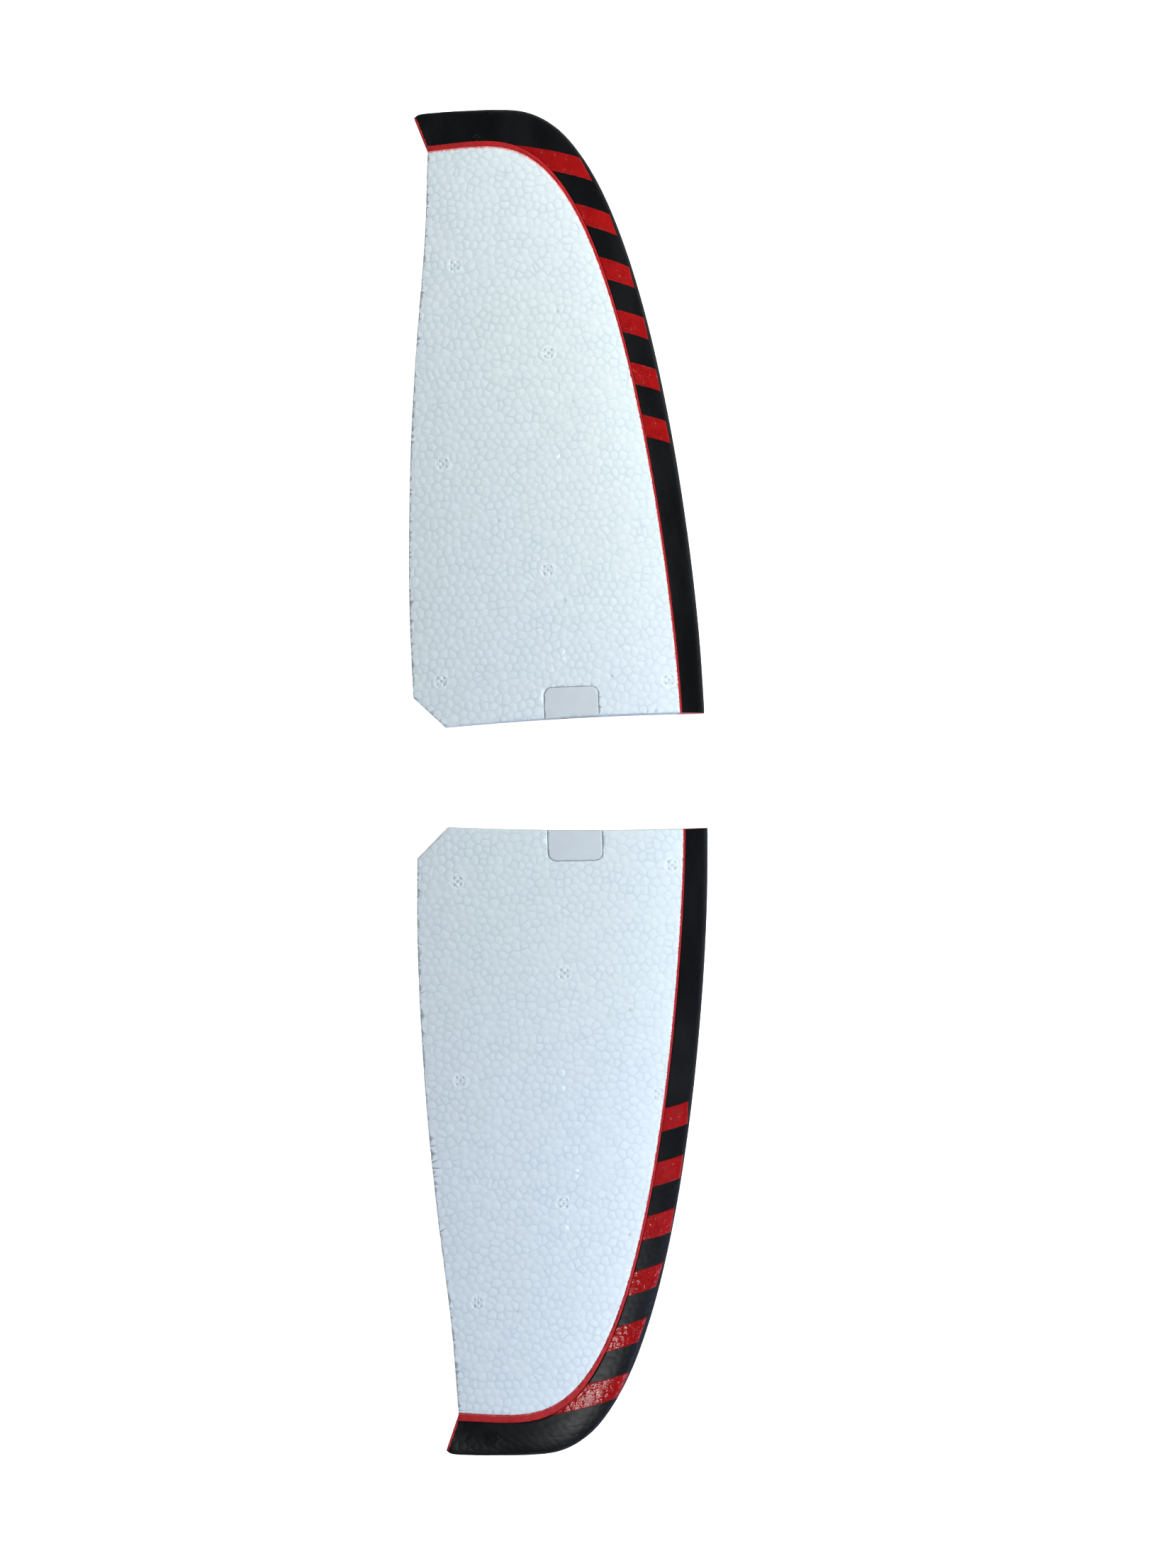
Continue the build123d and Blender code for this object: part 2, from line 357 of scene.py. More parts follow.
@dataclass(frozen=True)
class PanelForm:
    """Planform and section of one wing half, in mm, drawn as the left one."""

    half_span: float
    lead_x: float
    trail_x: float
    root_y: float
    thickness_ratio: float = 0.0875
    trail_thickness: float = 1.0
    lead_bend: float = 39.3
    lead_powers: tuple[float, float] = (2.60, 1.50)
    crest_x: float = -25.8
    sweep: float = 16.3
    trail_shape: tuple = ((0.0, 0.09), (0.22, 0.0), (0.47, 0.16), (0.66, 0.45), (0.85, 0.83), (1.0, 1.0))
    notch_y: float = 351.3
    notch_slant: float = 7.2
    corner_drop: float = 3.7
    root_rise: float = 4.3
    root_hollow: float = 1.4
    chamfer_chord: float = 17.1
    chamfer_span: float = 16.1
    nose_share: float = 0.25
    nose_curve: float = 0.06
    border_crest_x: float = -44.9
    border_powers: tuple[float, float] = (3.04, 1.355)
    border_dip: float = 0.6
    nose_band: float = 13.3
    tip_band: float = 19.8
    stripe_root: float = 1.1
    stripe_tip: float = 3.6

    def trailing(self, y: Array) -> Array:
        """X of the trailing edge at y: a smooth curve that sweeps forward towards the tip."""
        share = np.clip((np.asarray(y, dtype=float) - self.root_y) / (self.notch_y - self.root_y), 0, 1)
        return self.trail_x + self.sweep * smooth_knots(self.trail_shape, share)

    def rootline(self, x: Array) -> Array:
        """Y of the root end at x: a slanting line with a shallow parabolic hollow.

        Args:
            x: places along the chord.

        Returns:
            Y at each place.
        """
        corner = float(self.trailing(np.array([self.root_y]))[0]) + self.chamfer_chord
        t = (np.asarray(x, dtype=float) - corner) / (self.lead_x - corner)
        return self.root_y + self.root_rise * t + self.root_hollow * (1 - (2 * t - 1) ** 2)

    def leading(self, turn: Array) -> Array:
        """Points of the leading edge and tip: a quarter superellipse, turn 0 to 90 degrees.

        Args:
            turn: degrees round the quarter.

        Returns:
            (n, 2) points.
        """
        c, s = np.cos(np.radians(turn)), np.sin(np.radians(turn))
        x = self.crest_x + (self.lead_x - self.crest_x) * c ** (2 / self.lead_powers[0])
        y = self.lead_bend + (self.half_span - self.lead_bend) * s ** (2 / self.lead_powers[1])
        return np.stack([x, y], axis=1)

    def ribs(self) -> tuple[Array, Array]:
        """Trailing and leading end points of the ribs, which fan round the tip.

        Returns:
            Two (n, 2) arrays, from the root to the notch line.
        """
        straight = self.leading(np.array([0.01, 12, 22, 32, 42, 51]))
        root = np.array([[self.lead_x, self.root_y - 6.0]])
        fan = self.leading(np.array([59, 66, 73, 79, 85, 89.99]))
        corner_x = float(self.trailing(np.array([self.notch_y]))[0]) - self.notch_slant
        tip = np.array([
            [self.crest_x - 20, self.half_span - 0.15],
            [self.crest_x - 33, self.half_span - 0.75],
            [corner_x + 3.6, self.half_span - 1.7],
            [corner_x, self.half_span - self.corner_drop],
        ])
        lead = np.concatenate([root, straight, fan, tip])
        turning = len(fan) + len(tip)
        t = np.arange(1, turning + 1) / turning
        fan_y = straight[-1, 1] + (self.notch_y - straight[-1, 1]) * (1 - (1 - t) ** 4)
        y = np.r_[root[:, 1], straight[:, 1], fan_y]
        return np.stack([self.trailing(y), y], axis=1), lead

    def top(self, share: Array, chord: Array) -> Array:
        """Height of the upper surface at a share of the chord behind the leading edge: the nose
        height fading out, a classic bulge that peaks at 30%, and the trailing edge's thickness.

        Args:
            share: 0 at the leading edge, 1 at the trailing edge.
            chord: length of each rib.

        Returns:
            Heights, mm.
        """
        s = np.clip(share, 0, 1)
        thick = self.thickness_ratio * chord
        nose = self.nose_share * thick
        bulge = 10 * (0.2969 * np.sqrt(s) - 0.1260 * s - 0.3516 * s**2 + 0.2843 * s**3 - 0.1036 * s**4)
        return nose * (1 - s) ** 3 + (thick - 0.343 * nose) * bulge + self.trail_thickness * s

    def border_level(self, points: Array, band: float, tip: float) -> Array:
        """Signed distance, about in mm, ahead of an edge of the paint: the superellipse's level
        divided by its slope.

        Args:
            points: (n, 2) points.
            band: width of paint ahead of the edge at the root.
            tip: width of paint outboard of it at the tip.

        Returns:
            The signed distances, mm.
        """
        centre_y = self.root_y + self.root_rise
        a = self.lead_x - band - self.border_crest_x
        b = self.half_span - tip - centre_y
        n, m = self.border_powers
        aft = np.clip((self.border_crest_x - points[:, 0]) / (self.border_crest_x - self.trail_x), 0, 1)
        x = np.maximum(points[:, 0] - self.border_crest_x, 0.0) / a
        y = np.maximum(points[:, 1] + self.border_dip * aft - centre_y, 0.0) / b
        level = x**n + y**m - 1
        slope = np.hypot(n * x ** (n - 1) / a, m * np.maximum(y, 1e-6) ** (m - 1) / b)
        return level / np.maximum(slope, 1e-6)

    def black_level(self, points: Array) -> Array:
        """Signed distance ahead of the inner edge of the black."""
        return self.border_level(points, self.nose_band, self.tip_band)

    def red_level(self, points: Array) -> Array:
        """Signed distance ahead of the inner edge of the red stripe."""
        return self.border_level(points, self.nose_band + self.stripe_root, self.tip_band + self.stripe_tip)


class RibNet:
    """Continuous net of ribs over a panel, with its heights."""

    SAMPLES = 1800

    def __init__(self, form: PanelForm) -> None:
        """Samples the ribs of a form finely.

        Args:
            form: the wing half's form.
        """
        self.form = form
        trail, lead = form.ribs()
        self.u = np.linspace(0, len(lead) - 1, self.SAMPLES)
        self.trail = through_points(trail, self.u)
        self.lead = through_points(lead, self.u)
        self.arc = np.r_[0, np.cumsum(np.linalg.norm(np.diff(self.lead, axis=0), axis=1))]

    def ends(self, u: Array) -> tuple[Array, Array]:
        """Trailing and leading points of the ribs at u.

        Args:
            u: rib numbers, with fractions.

        Returns:
            Two (n, 2) arrays.
        """
        trail = np.stack([np.interp(u, self.u, self.trail[:, c]) for c in (0, 1)], axis=1)
        lead = np.stack([np.interp(u, self.u, self.lead[:, c]) for c in (0, 1)], axis=1)
        return trail, lead

    def locate(self, points: Array) -> tuple[Array, Array]:
        """Finds the rib through each point, by halving on the side of the rib it lies.

        Args:
            points: (n, 2) points.

        Returns:
            Share of the chord behind the leading edge, and the rib's chord.
        """

        def outboard(u: Array) -> Array:
            """Which points lie on the tip's side of the ribs at u."""
            trail, lead = self.ends(u)
            way, off = lead - trail, points - trail
            return way[:, 0] * off[:, 1] - way[:, 1] * off[:, 0] > 0

        low = np.zeros(len(points))
        u = bisect(outboard, low, low + self.u[-1])
        trail, lead = self.ends(u)
        way = trail - lead
        chord = np.linalg.norm(way, axis=1)
        share = np.einsum("ij,ij->i", points - lead, way) / chord**2
        return share, chord

    def top(self, points: Array) -> Array:
        """Height of the smooth upper surface over each point."""
        return self.form.top(*self.locate(points))


class BeadPacking:
    """The fused beads of a foam panel: a relaxed random packing and its cell walls."""

    ROUNDNESS = 2.4
    MARGIN_PITCHES = 2.2
    DROPPED = 0.05
    RELAX_ROUNDS = 2
    MOVE_LIMIT, MOVE_SHARE, WHOLE_CELL = 1.2, 0.7, 4
    SHORTEST_WALL, LONGEST_WALL = 0.02, 3 * 5.35
    BATCH, REACH = 6000, 14
    DOME_REACH = 1.1

    def __init__(self, form: PanelForm, seed: int, pitch: float = 4.95, scatter: float = 1.35) -> None:
        """Scatters the bead centres and relaxes them.

        Args:
            form: the wing half's form, for its extent.
            seed: random seed.
            pitch: mean distance between bead centres, mm.
            scatter: spread of the centres before they relax, mm.
        """
        self.random = np.random.default_rng(seed)
        margin = self.MARGIN_PITCHES * pitch
        rows = np.arange(form.root_y - margin, form.half_span + margin, pitch * math.sqrt(3) / 2)
        columns = np.arange(form.trail_x - margin, form.lead_x + margin, pitch)
        x, y = np.meshgrid(columns, rows)
        x = x + (np.arange(len(rows)) % 2)[:, None] * pitch / 2
        centres = np.stack([x.ravel(), y.ravel()], axis=1)
        keep = self.random.random(len(centres)) > self.DROPPED
        centres = centres[keep] + self.random.normal(0, scatter, (int(keep.sum()), 2))
        self.centres = self.relax(centres, self.RELAX_ROUNDS)
        self.tint = self.random.normal(0, 1, len(self.centres))
        self.gloss = self.random.random(len(self.centres))

    @staticmethod
    def cells(centres: Array) -> tuple[Array, Array]:
        """Delaunay triangles of the centres and the middles of their circumcircles.

        Args:
            centres: (n, 2) bead centres.

        Returns:
            (m, 3) triangles and (m, 2) circle centres, which are the corners of the cells.
        """
        result = delaunay_2d_cdt([Vector(c) for c in centres.tolist()], [], [], 0, 1e-9, False)
        tris = np.array(result[2], dtype=np.int64)
        a, b, c = centres[tris[:, 0]], centres[tris[:, 1]], centres[tris[:, 2]]
        twice = 2 * (
            a[:, 0] * (b[:, 1] - c[:, 1]) + b[:, 0] * (c[:, 1] - a[:, 1]) + c[:, 0] * (a[:, 1] - b[:, 1])
        )
        a2, b2, c2 = (np.sum(p**2, axis=1) for p in (a, b, c))
        x = (a2 * (b[:, 1] - c[:, 1]) + b2 * (c[:, 1] - a[:, 1]) + c2 * (a[:, 1] - b[:, 1])) / twice
        y = (a2 * (c[:, 0] - b[:, 0]) + b2 * (a[:, 0] - c[:, 0]) + c2 * (b[:, 0] - a[:, 0])) / twice
        return tris, np.stack([x, y], axis=1)

    def relax(self, centres: Array, rounds: int) -> Array:
        """Moves each centre part of the way to the mean of its cell's corners.

        Args:
            centres: (n, 2) bead centres.
            rounds: how many times.

        Returns:
            The moved centres.
        """
        for _ in range(rounds):
            tris, corners = self.cells(centres)
            total, count = np.zeros_like(centres), np.zeros(len(centres))
            for k in range(3):
                np.add.at(total, tris[:, k], corners)
                np.add.at(count, tris[:, k], 1)
            mean = total / np.maximum(count, 1)[:, None]
            move = np.clip(mean - centres, -self.MOVE_LIMIT, self.MOVE_LIMIT) * self.MOVE_SHARE
            centres = centres + np.where(count[:, None] >= self.WHOLE_CELL, move, 0)
        return centres

    def net(
        self, low: tuple[float, float], high: tuple[float, float], inset: float = 0.24
    ) -> tuple[Array, Array]:
        """Points and edges that a mesh keeps to show the beads: centres, cell walls, and inside
        each cell a smaller copy of its outline.

        Args:
            low: lowest corner of the wanted area.
            high: highest corner.
            inset: how far the copy is drawn in, as a share of the way to the centre.

        Returns:
            (n, 2) points and (m, 2) edges.
        """
        tris, corners = self.cells(self.centres)
        beads, cells = len(self.centres), len(tris)
        edges = np.concatenate([tris[:, [0, 1]], tris[:, [1, 2]], tris[:, [2, 0]]])
        owner = np.tile(np.arange(cells), 3)
        corner = np.repeat([0, 1, 2], cells)
        code = np.sort(edges, axis=1) @ np.array([beads, 1])
        order = np.argsort(code, kind="stable")
        same = np.flatnonzero(np.diff(code[order]) == 0)
        one, two = order[same], order[same + 1]
        first, second = owner[one], owner[two]
        length = np.linalg.norm(corners[first] - corners[second], axis=1)
        inside = np.all((corners > np.array(low)) & (corners < np.array(high)), axis=1)
        real = (length > self.SHORTEST_WALL) & (length < self.LONGEST_WALL)
        keep = inside[first] & inside[second] & real
        ring = corners[:, None, :] + inset * (self.centres[tris] - corners[:, None, :])
        base = beads + cells
        walls = np.stack([beads + first, beads + second], axis=1)
        near = np.stack([base + 3 * first + corner[one], base + 3 * second + (corner[two] + 1) % 3], axis=1)
        far = np.stack([base + 3 * first + (corner[one] + 1) % 3, base + 3 * second + corner[two]], axis=1)
        pairs = np.concatenate([walls[keep], near[keep], far[keep]])
        points = np.concatenate([self.centres, corners, ring.reshape(-1, 2)])
        wanted = np.zeros(len(points), dtype=bool)
        wanted[pairs.ravel()] = True
        wanted[:beads] = np.all((self.centres > np.array(low)) & (self.centres < np.array(high)), axis=1)
        number = np.cumsum(wanted) - 1
        return points[wanted], number[pairs]

    def seam(self, points: Array) -> tuple[Array, Array, Array]:
        """Distance from each point to the nearest cell wall, and the bead it lies in. The wall
        between centres a and b is at (|p-b|^2 - |p-a|^2) / 2|b-a|. A second distance is the
        smooth minimum of the three nearest walls, -ln(sum of exp(-k d)) / k, which rounds the
        cells' corners.

        Args:
            points: (n, 2) points.

        Returns:
            Distances in mm, bead numbers, and rounded distances in mm.
        """
        distance, bead = np.empty(len(points)), np.empty(len(points), dtype=np.int64)
        rounded = np.empty(len(points))
        for start in range(0, len(points), self.BATCH):
            batch = slice(start, start + self.BATCH)
            part = points[batch].astype(np.float32)
            low, high = part[:, 1].min() - self.REACH, part[:, 1].max() + self.REACH
            number = np.flatnonzero((self.centres[:, 1] > low) & (self.centres[:, 1] < high))
            near = self.centres[number].astype(np.float32)
            square = ((part[:, None, :] - near[None, :, :]) ** 2).sum(axis=2)
            four = np.argpartition(square, 4, axis=1)[:, :4]
            values = np.take_along_axis(square, four, axis=1)
            order = np.argsort(values, axis=1)
            four = np.take_along_axis(four, order, axis=1)
            values = np.take_along_axis(values, order, axis=1)
            gap = np.linalg.norm(near[four[:, 1:]] - near[four[:, :1]], axis=2)
            wall = (values[:, 1:] - values[:, :1]) / (2 * gap)
            distance[batch] = wall.min(axis=1)
            rounded[batch] = -np.log(np.exp(-self.ROUNDNESS * wall).sum(axis=1)) / self.ROUNDNESS
            bead[batch] = number[four[:, 0]]
        return distance, bead, np.maximum(rounded, 0.0)

    @staticmethod
    def relief(distance: Array, depth: float = 0.075, width: float = 0.36, dome: float = 0.05) -> Array:
        """Height of the beads' own relief: a bell-shaped groove at the walls and a low dome."""
        swell = dome * (1 - np.exp(-distance / BeadPacking.DOME_REACH))
        return swell - depth * np.exp(-((distance / width) ** 2))


# ---------------------------------------------------------------- looks


@dataclass(frozen=True)
class Colour:
    """A linear colour."""

    red: float
    green: float
    blue: float

    @classmethod
    def screen(cls, red: int, green: int, blue: int) -> "Colour":
        """Colour from 0 to 255 screen values, by the usual 2.4 power curve."""
        shares = [v / 255 for v in (red, green, blue)]
        return cls(*(v / 12.92 if v <= 10 / 255 else ((v + 0.055) / 1.055) ** 2.4 for v in shares))

    @property
    def rgba(self) -> tuple[float, float, float, float]:
        """The colour with full alpha."""
        return (self.red, self.green, self.blue, 1.0)


@dataclass(frozen=True)
class Pattern:
    """A noise over object coordinates, and the smooth map put on it.

    scale is in cycles per metre, shift sets two patterns apart, and span holds a low and a high
    value and what they become; with no span the noise stays as it is.
    """

    scale: float
    detail: float = 2.0
    shift: float = 0.0
    stretch: tuple[float, float, float] = (1.0, 1.0, 1.0)
    span: tuple[float, ...] = ()


class Nodes:
    """Short helpers for one node tree."""

    def __init__(self, tree: bpy.types.NodeTree) -> None:
        """Wraps a tree.

        Args:
            tree: shader tree or group.
        """
        self.tree = tree

    def add(self, kind: str, **settings: object) -> bpy.types.Node:
        """Adds a node and sets its properties.

        Args:
            kind: node type.
            settings: properties and their values.

        Returns:
            The node.
        """
        node = self.tree.nodes.new(kind)
        for key, value in settings.items():
            setattr(node, key, value)
        return node

    def link(self, source: object, target: bpy.types.NodeSocket) -> None:
        """Links a socket, or sets a plain value, into a target socket.

        Args:
            source: socket, colour or number.
            target: input socket.
        """
        if isinstance(source, bpy.types.NodeSocket):
            self.tree.links.new(source, target)
        elif isinstance(source, Colour):
            target.default_value = source.rgba
        else:
            target.default_value = source

    def math(self, operation: str, *values: object) -> bpy.types.NodeSocket:
        """One math node over sockets or numbers.

        Args:
            operation: its operation.
            values: its inputs, in order.

        Returns:
            Its output.
        """
        node = self.add("ShaderNodeMath", operation=operation)
        for socket, value in zip(node.inputs, values):
            self.link(value, socket)
        return node.outputs[0]

    def ramp(
        self, value: object, low: float, high: float, to_low: float = 0.0, to_high: float = 1.0
    ) -> bpy.types.NodeSocket:
        """Smooth map of value from low..high to to_low..to_high.

        Args:
            value: socket or number.
            low: value that gives to_low.
            high: value that gives to_high.
            to_low: result at low.
            to_high: result at high.

        Returns:
            The mapped output.
        """
        node = self.add("ShaderNodeMapRange", interpolation_type="SMOOTHSTEP")
        for socket, entry in zip(node.inputs, (value, low, high, to_low, to_high)):
            self.link(entry, socket)
        return node.outputs[0]

    def mix(self, factor: object, one: object, two: object) -> bpy.types.NodeSocket:
        """Colour between one and two by factor.

        Args:
            factor: 0 for one, 1 for two.
            one: first colour.
            two: second colour.

        Returns:
            The mixed colour.
        """
        node = self.add("ShaderNodeMix", data_type="RGBA")
        self.link(factor, node.inputs[0])
        self.link(one, node.inputs[6])
        self.link(two, node.inputs[7])
        return node.outputs[2]

    def scale(self, colour: object, factor: object) -> bpy.types.NodeSocket:
        """Colour times a number.

        Args:
            colour: colour or socket.
            factor: number or socket.

        Returns:
            The scaled colour.
        """
        node = self.add("ShaderNodeVectorMath", operation="SCALE")
        self.link(colour, node.inputs[0])
        self.link(factor, node.inputs["Scale"])
        return node.outputs[0]

    def noise(self, pattern: Pattern) -> bpy.types.NodeSocket:
        """A pattern's noise, mapped if it has a span.

        Args:
            pattern: which pattern.

        Returns:
            The mapped output.
        """
        place = self.add("ShaderNodeTexCoord").outputs["Object"]
        mapping = self.add("ShaderNodeMapping")
        shift = pattern.shift
        mapping.inputs["Location"].default_value = (shift, shift * 0.7, shift * 1.3)
        mapping.inputs["Scale"].default_value = pattern.stretch
        self.link(place, mapping.inputs["Vector"])
        node = self.add("ShaderNodeTexNoise")
        self.link(mapping.outputs[0], node.inputs["Vector"])
        node.inputs["Scale"].default_value = pattern.scale
        node.inputs["Detail"].default_value = pattern.detail
        return self.ramp(node.outputs["Fac"], *pattern.span) if pattern.span else node.outputs["Fac"]

    def value(self, name: str) -> bpy.types.NodeSocket:
        """Per-point or per-face value stored on the mesh."""
        return self.add("ShaderNodeAttribute", attribute_name=name).outputs["Fac"]


class Effect(Enum):
    """Shared effects that each have a node group."""

    PITS = "fine pits"
    DUST = "pale dust"
    SCUFF = "worn gloss"


class EffectShelf:
    """Builds each shared effect's node group once."""

    def __init__(self) -> None:
        """Starts with no group built."""
        self.groups: dict[Effect, bpy.types.NodeTree] = {}

    def _sockets(self, effect: Effect, inputs: Sequence[tuple[str, float]], output: str) -> Nodes:
        """Makes an empty group with float inputs and one float output.

        Args:
            effect: the effect the group is for.
            inputs: names and default values.
            output: name of the output.

        Returns:
            The group's nodes.
        """
        tree = bpy.data.node_groups.new(effect.value, "ShaderNodeTree")
        for name, default in inputs:
            socket = tree.interface.new_socket(name, in_out="INPUT", socket_type="NodeSocketFloat")
            socket.default_value = default
        tree.interface.new_socket(output, in_out="OUTPUT", socket_type="NodeSocketFloat")
        self.groups[effect] = tree
        return Nodes(tree)

    def _noise_from(self, nodes: Nodes, start: bpy.types.Node, detail: float) -> bpy.types.NodeSocket:
        """Noise over object coordinates at the group's Scale input.

        Args:
            nodes: the group's nodes.
            start: the group's input node.
            detail: octaves.

        Returns:
            The noise output.
        """
        texture = nodes.add("ShaderNodeTexNoise")
        nodes.link(nodes.add("ShaderNodeTexCoord").outputs["Object"], texture.inputs["Vector"])
        nodes.link(start.outputs["Scale"], texture.inputs["Scale"])
        texture.inputs["Detail"].default_value = detail
        return texture.outputs["Fac"]

    def group(self, effect: Effect) -> bpy.types.NodeTree:
        """The effect's group: pits are a fine height, dust is a mask of sparse flecks, and worn
        gloss is a roughness offset of one noise.

        Args:
            effect: which effect.

        Returns:
            The node group.
        """
        if effect in self.groups:
            return self.groups[effect]
        nodes = self._sockets(effect, [("Scale", 1500.0), ("Amount", 1.0)], "Value")
        start, end = nodes.add("NodeGroupInput"), nodes.add("NodeGroupOutput")
        if effect is Effect.PITS:
            result = nodes.math("SUBTRACT", self._noise_from(nodes, start, 3.0), 0.5)
        elif effect is Effect.DUST:
            result = nodes.ramp(self._noise_from(nodes, start, 1.0), 0.70, 0.78)
        else:
            coarse = nodes.math("SUBTRACT", self._noise_from(nodes, start, 4.0), 0.5)
            result = nodes.math("MULTIPLY", coarse, 2.0)
        nodes.link(nodes.math("MULTIPLY", result, start.outputs["Amount"]), end.inputs[0])
        return nodes.tree

    def use(self, nodes: Nodes, effect: Effect, scale: float, amount: float) -> bpy.types.NodeSocket:
        """Adds the effect's group to a material.

        Args:
            nodes: the material's nodes.
            effect: which effect.
            scale: cycles per metre.
            amount: strength.

        Returns:
            The group's output.
        """
        node = nodes.add("ShaderNodeGroup", node_tree=self.group(effect))
        node.inputs["Scale"].default_value = scale
        node.inputs["Amount"].default_value = amount
        return node.outputs[0]


@dataclass(frozen=True)
class Finish:
    """Base of the finishes: a named Principled material with a bump."""

    name: str
    roughness: float = 0.5
    specular: float = 0.5

    def build(self, shelf: EffectShelf) -> bpy.types.Material:
        """Makes the material.

        Args:
            shelf: shared effects.

        Returns:
            The material.
        """
        material = bpy.data.materials.new(self.name)
        material.use_nodes = True
        nodes = Nodes(material.node_tree)
        shader = next(n for n in material.node_tree.nodes if n.type == "BSDF_PRINCIPLED")
        shader.inputs["Roughness"].default_value = self.roughness
        shader.inputs["Specular IOR Level"].default_value = self.specular
        self.dress(nodes, shader, shelf)
        return material

    def dress(self, nodes: Nodes, shader: bpy.types.Node, shelf: EffectShelf) -> None:
        """Wires the colour, the roughness and the bump.

        Args:
            nodes: the material's nodes.
            shader: its Principled shader.
            shelf: shared effects.
        """
        raise NotImplementedError

    @staticmethod
    def bump(
        nodes: Nodes, shader: bpy.types.Node, height: object, distance: float, strength: float = 1.0
    ) -> None:
        """Feeds a height in 0..1 through a bump of the given depth in metres.

        Args:
            nodes: the material's nodes.
            shader: its Principled shader.
            height: socket or number.
            distance: depth in metres.
            strength: share of the bump used.
        """
        node = nodes.add("ShaderNodeBump")
        node.inputs["Strength"].default_value = strength
        node.inputs["Distance"].default_value = distance
        nodes.link(height, node.inputs["Height"])
        nodes.link(node.outputs[0], shader.inputs["Normal"])


@dataclass(frozen=True)
class BeadFoam(Finish):
    """Moulded white bead foam, with darker seams, and pink overspray beside the stripe."""

    WIDE = Pattern(7.0, 0.0, span=(0.30, 0.75, 0.0, 0.45))
    BLOTCH = Pattern(420.0, span=(0.3, 0.7, 0.975, 1.01))
    SEAM_WIDTH = Pattern(300.0, shift=3.1, span=(0.3, 0.7, 0.30, 0.58))
    SEAM_FADE = Pattern(110.0, shift=1.7, span=(0.30, 0.66, 0.25, 1.0))
    RAGGED = Pattern(900.0, 3.0, span=(0.2, 0.8, -0.5, 0.5))
    SWELL, SWELL_SHARE = Pattern(240.0, shift=5.0), 1.2
    TINT_GAIN = 0.010
    # Painted shade in the vent's pits, and a painted highlight on its raised ring.
    VENT_SHADE, VENT_RIM = (0.02, 0.3, 1.0, 0.84), (0.015, 0.08, 0.0, 0.55)
    SPRAY_END, SPRAY_POWER, SPRAY_SHARE = 0.25, 2.0, 0.75
    # Painted shade in the dents and specks: the foam colour darkens in their hollows.
    DENT_PAINTED_SHADE = -0.25
    SHINY_FROM, SHINY_SHARE = 0.55, 0.62
    SCUFF, PITS = (260.0, 0.14), (1700.0, 0.5)
    DEPTH, STRENGTH = 0.00011, 0.8

    base: Colour = Colour.screen(215, 226, 232)
    seam: Colour = Colour.screen(199, 212, 219)
    warm: Colour = Colour.screen(213, 225, 222)
    spray: Colour = Colour.screen(226, 60, 66)
    # Lighter foam colour painted on the vent's raised ring as a highlight.
    rim: Colour = Colour.screen(236, 243, 246)
    fringe: float = 1.0

    def dress(self, nodes: Nodes, shader: bpy.types.Node, shelf: EffectShelf) -> None:
        """Colour by bead tint, seam distance and distance from the stripe; painted shade in vent pits and
        dents, painted highlight on vent rings.

        Args:
            nodes: the material's nodes.
            shader: its Principled shader.
            shelf: shared effects.
        """
        body = nodes.mix(nodes.noise(self.WIDE), self.base, self.warm)
        body = nodes.scale(body, nodes.math("MULTIPLY_ADD", nodes.value("tint"), self.TINT_GAIN, 1.0))
        body = nodes.scale(body, nodes.noise(self.BLOTCH))
        near = nodes.math("DIVIDE", nodes.value("seam"), nodes.noise(self.SEAM_WIDTH))
        line = nodes.math("SUBTRACT", 1.0, nodes.ramp(near, 0.0, 1.0))
        body = nodes.mix(nodes.math("MULTIPLY", line, nodes.noise(self.SEAM_FADE)), body, self.seam)
        vent = nodes.value("vent")
        # Painted shade: the foam colour darkens down in the vent's pits.
        body = nodes.scale(body, nodes.ramp(vent, *self.VENT_SHADE))
        # Painted highlight: the foam colour lightens on the vent's raised ring.
        ridge_highlight = nodes.ramp(nodes.math("MULTIPLY", vent, -1.0), *self.VENT_RIM)
        body = nodes.mix(ridge_highlight, body, self.rim)
        level = nodes.math("ADD", nodes.value("border"), nodes.noise(self.RAGGED))
        pink = nodes.math("POWER", nodes.ramp(level, -self.fringe, self.SPRAY_END), self.SPRAY_POWER)
        body = nodes.mix(nodes.math("MULTIPLY", pink, self.SPRAY_SHARE), body, self.spray)
        # Painted shade: darkens the foam colour in the dents and specks.
        body = nodes.scale(body, nodes.math("MULTIPLY_ADD", nodes.value("mark"), self.DENT_PAINTED_SHADE, 1.0))
        nodes.link(body, shader.inputs["Base Color"])
        shiny = self.roughness * self.SHINY_SHARE
        shine = nodes.ramp(nodes.value("gloss"), self.SHINY_FROM, 1.0, self.roughness, shiny)
        rough = nodes.math("ADD", shine, shelf.use(nodes, Effect.SCUFF, *self.SCUFF))
        nodes.link(rough, shader.inputs["Roughness"])
        pits = shelf.use(nodes, Effect.PITS, *self.PITS)
        swell = nodes.math("MULTIPLY_ADD", nodes.noise(self.SWELL), self.SWELL_SHARE, pits)
        self.bump(nodes, shader, swell, self.DEPTH, self.STRENGTH)


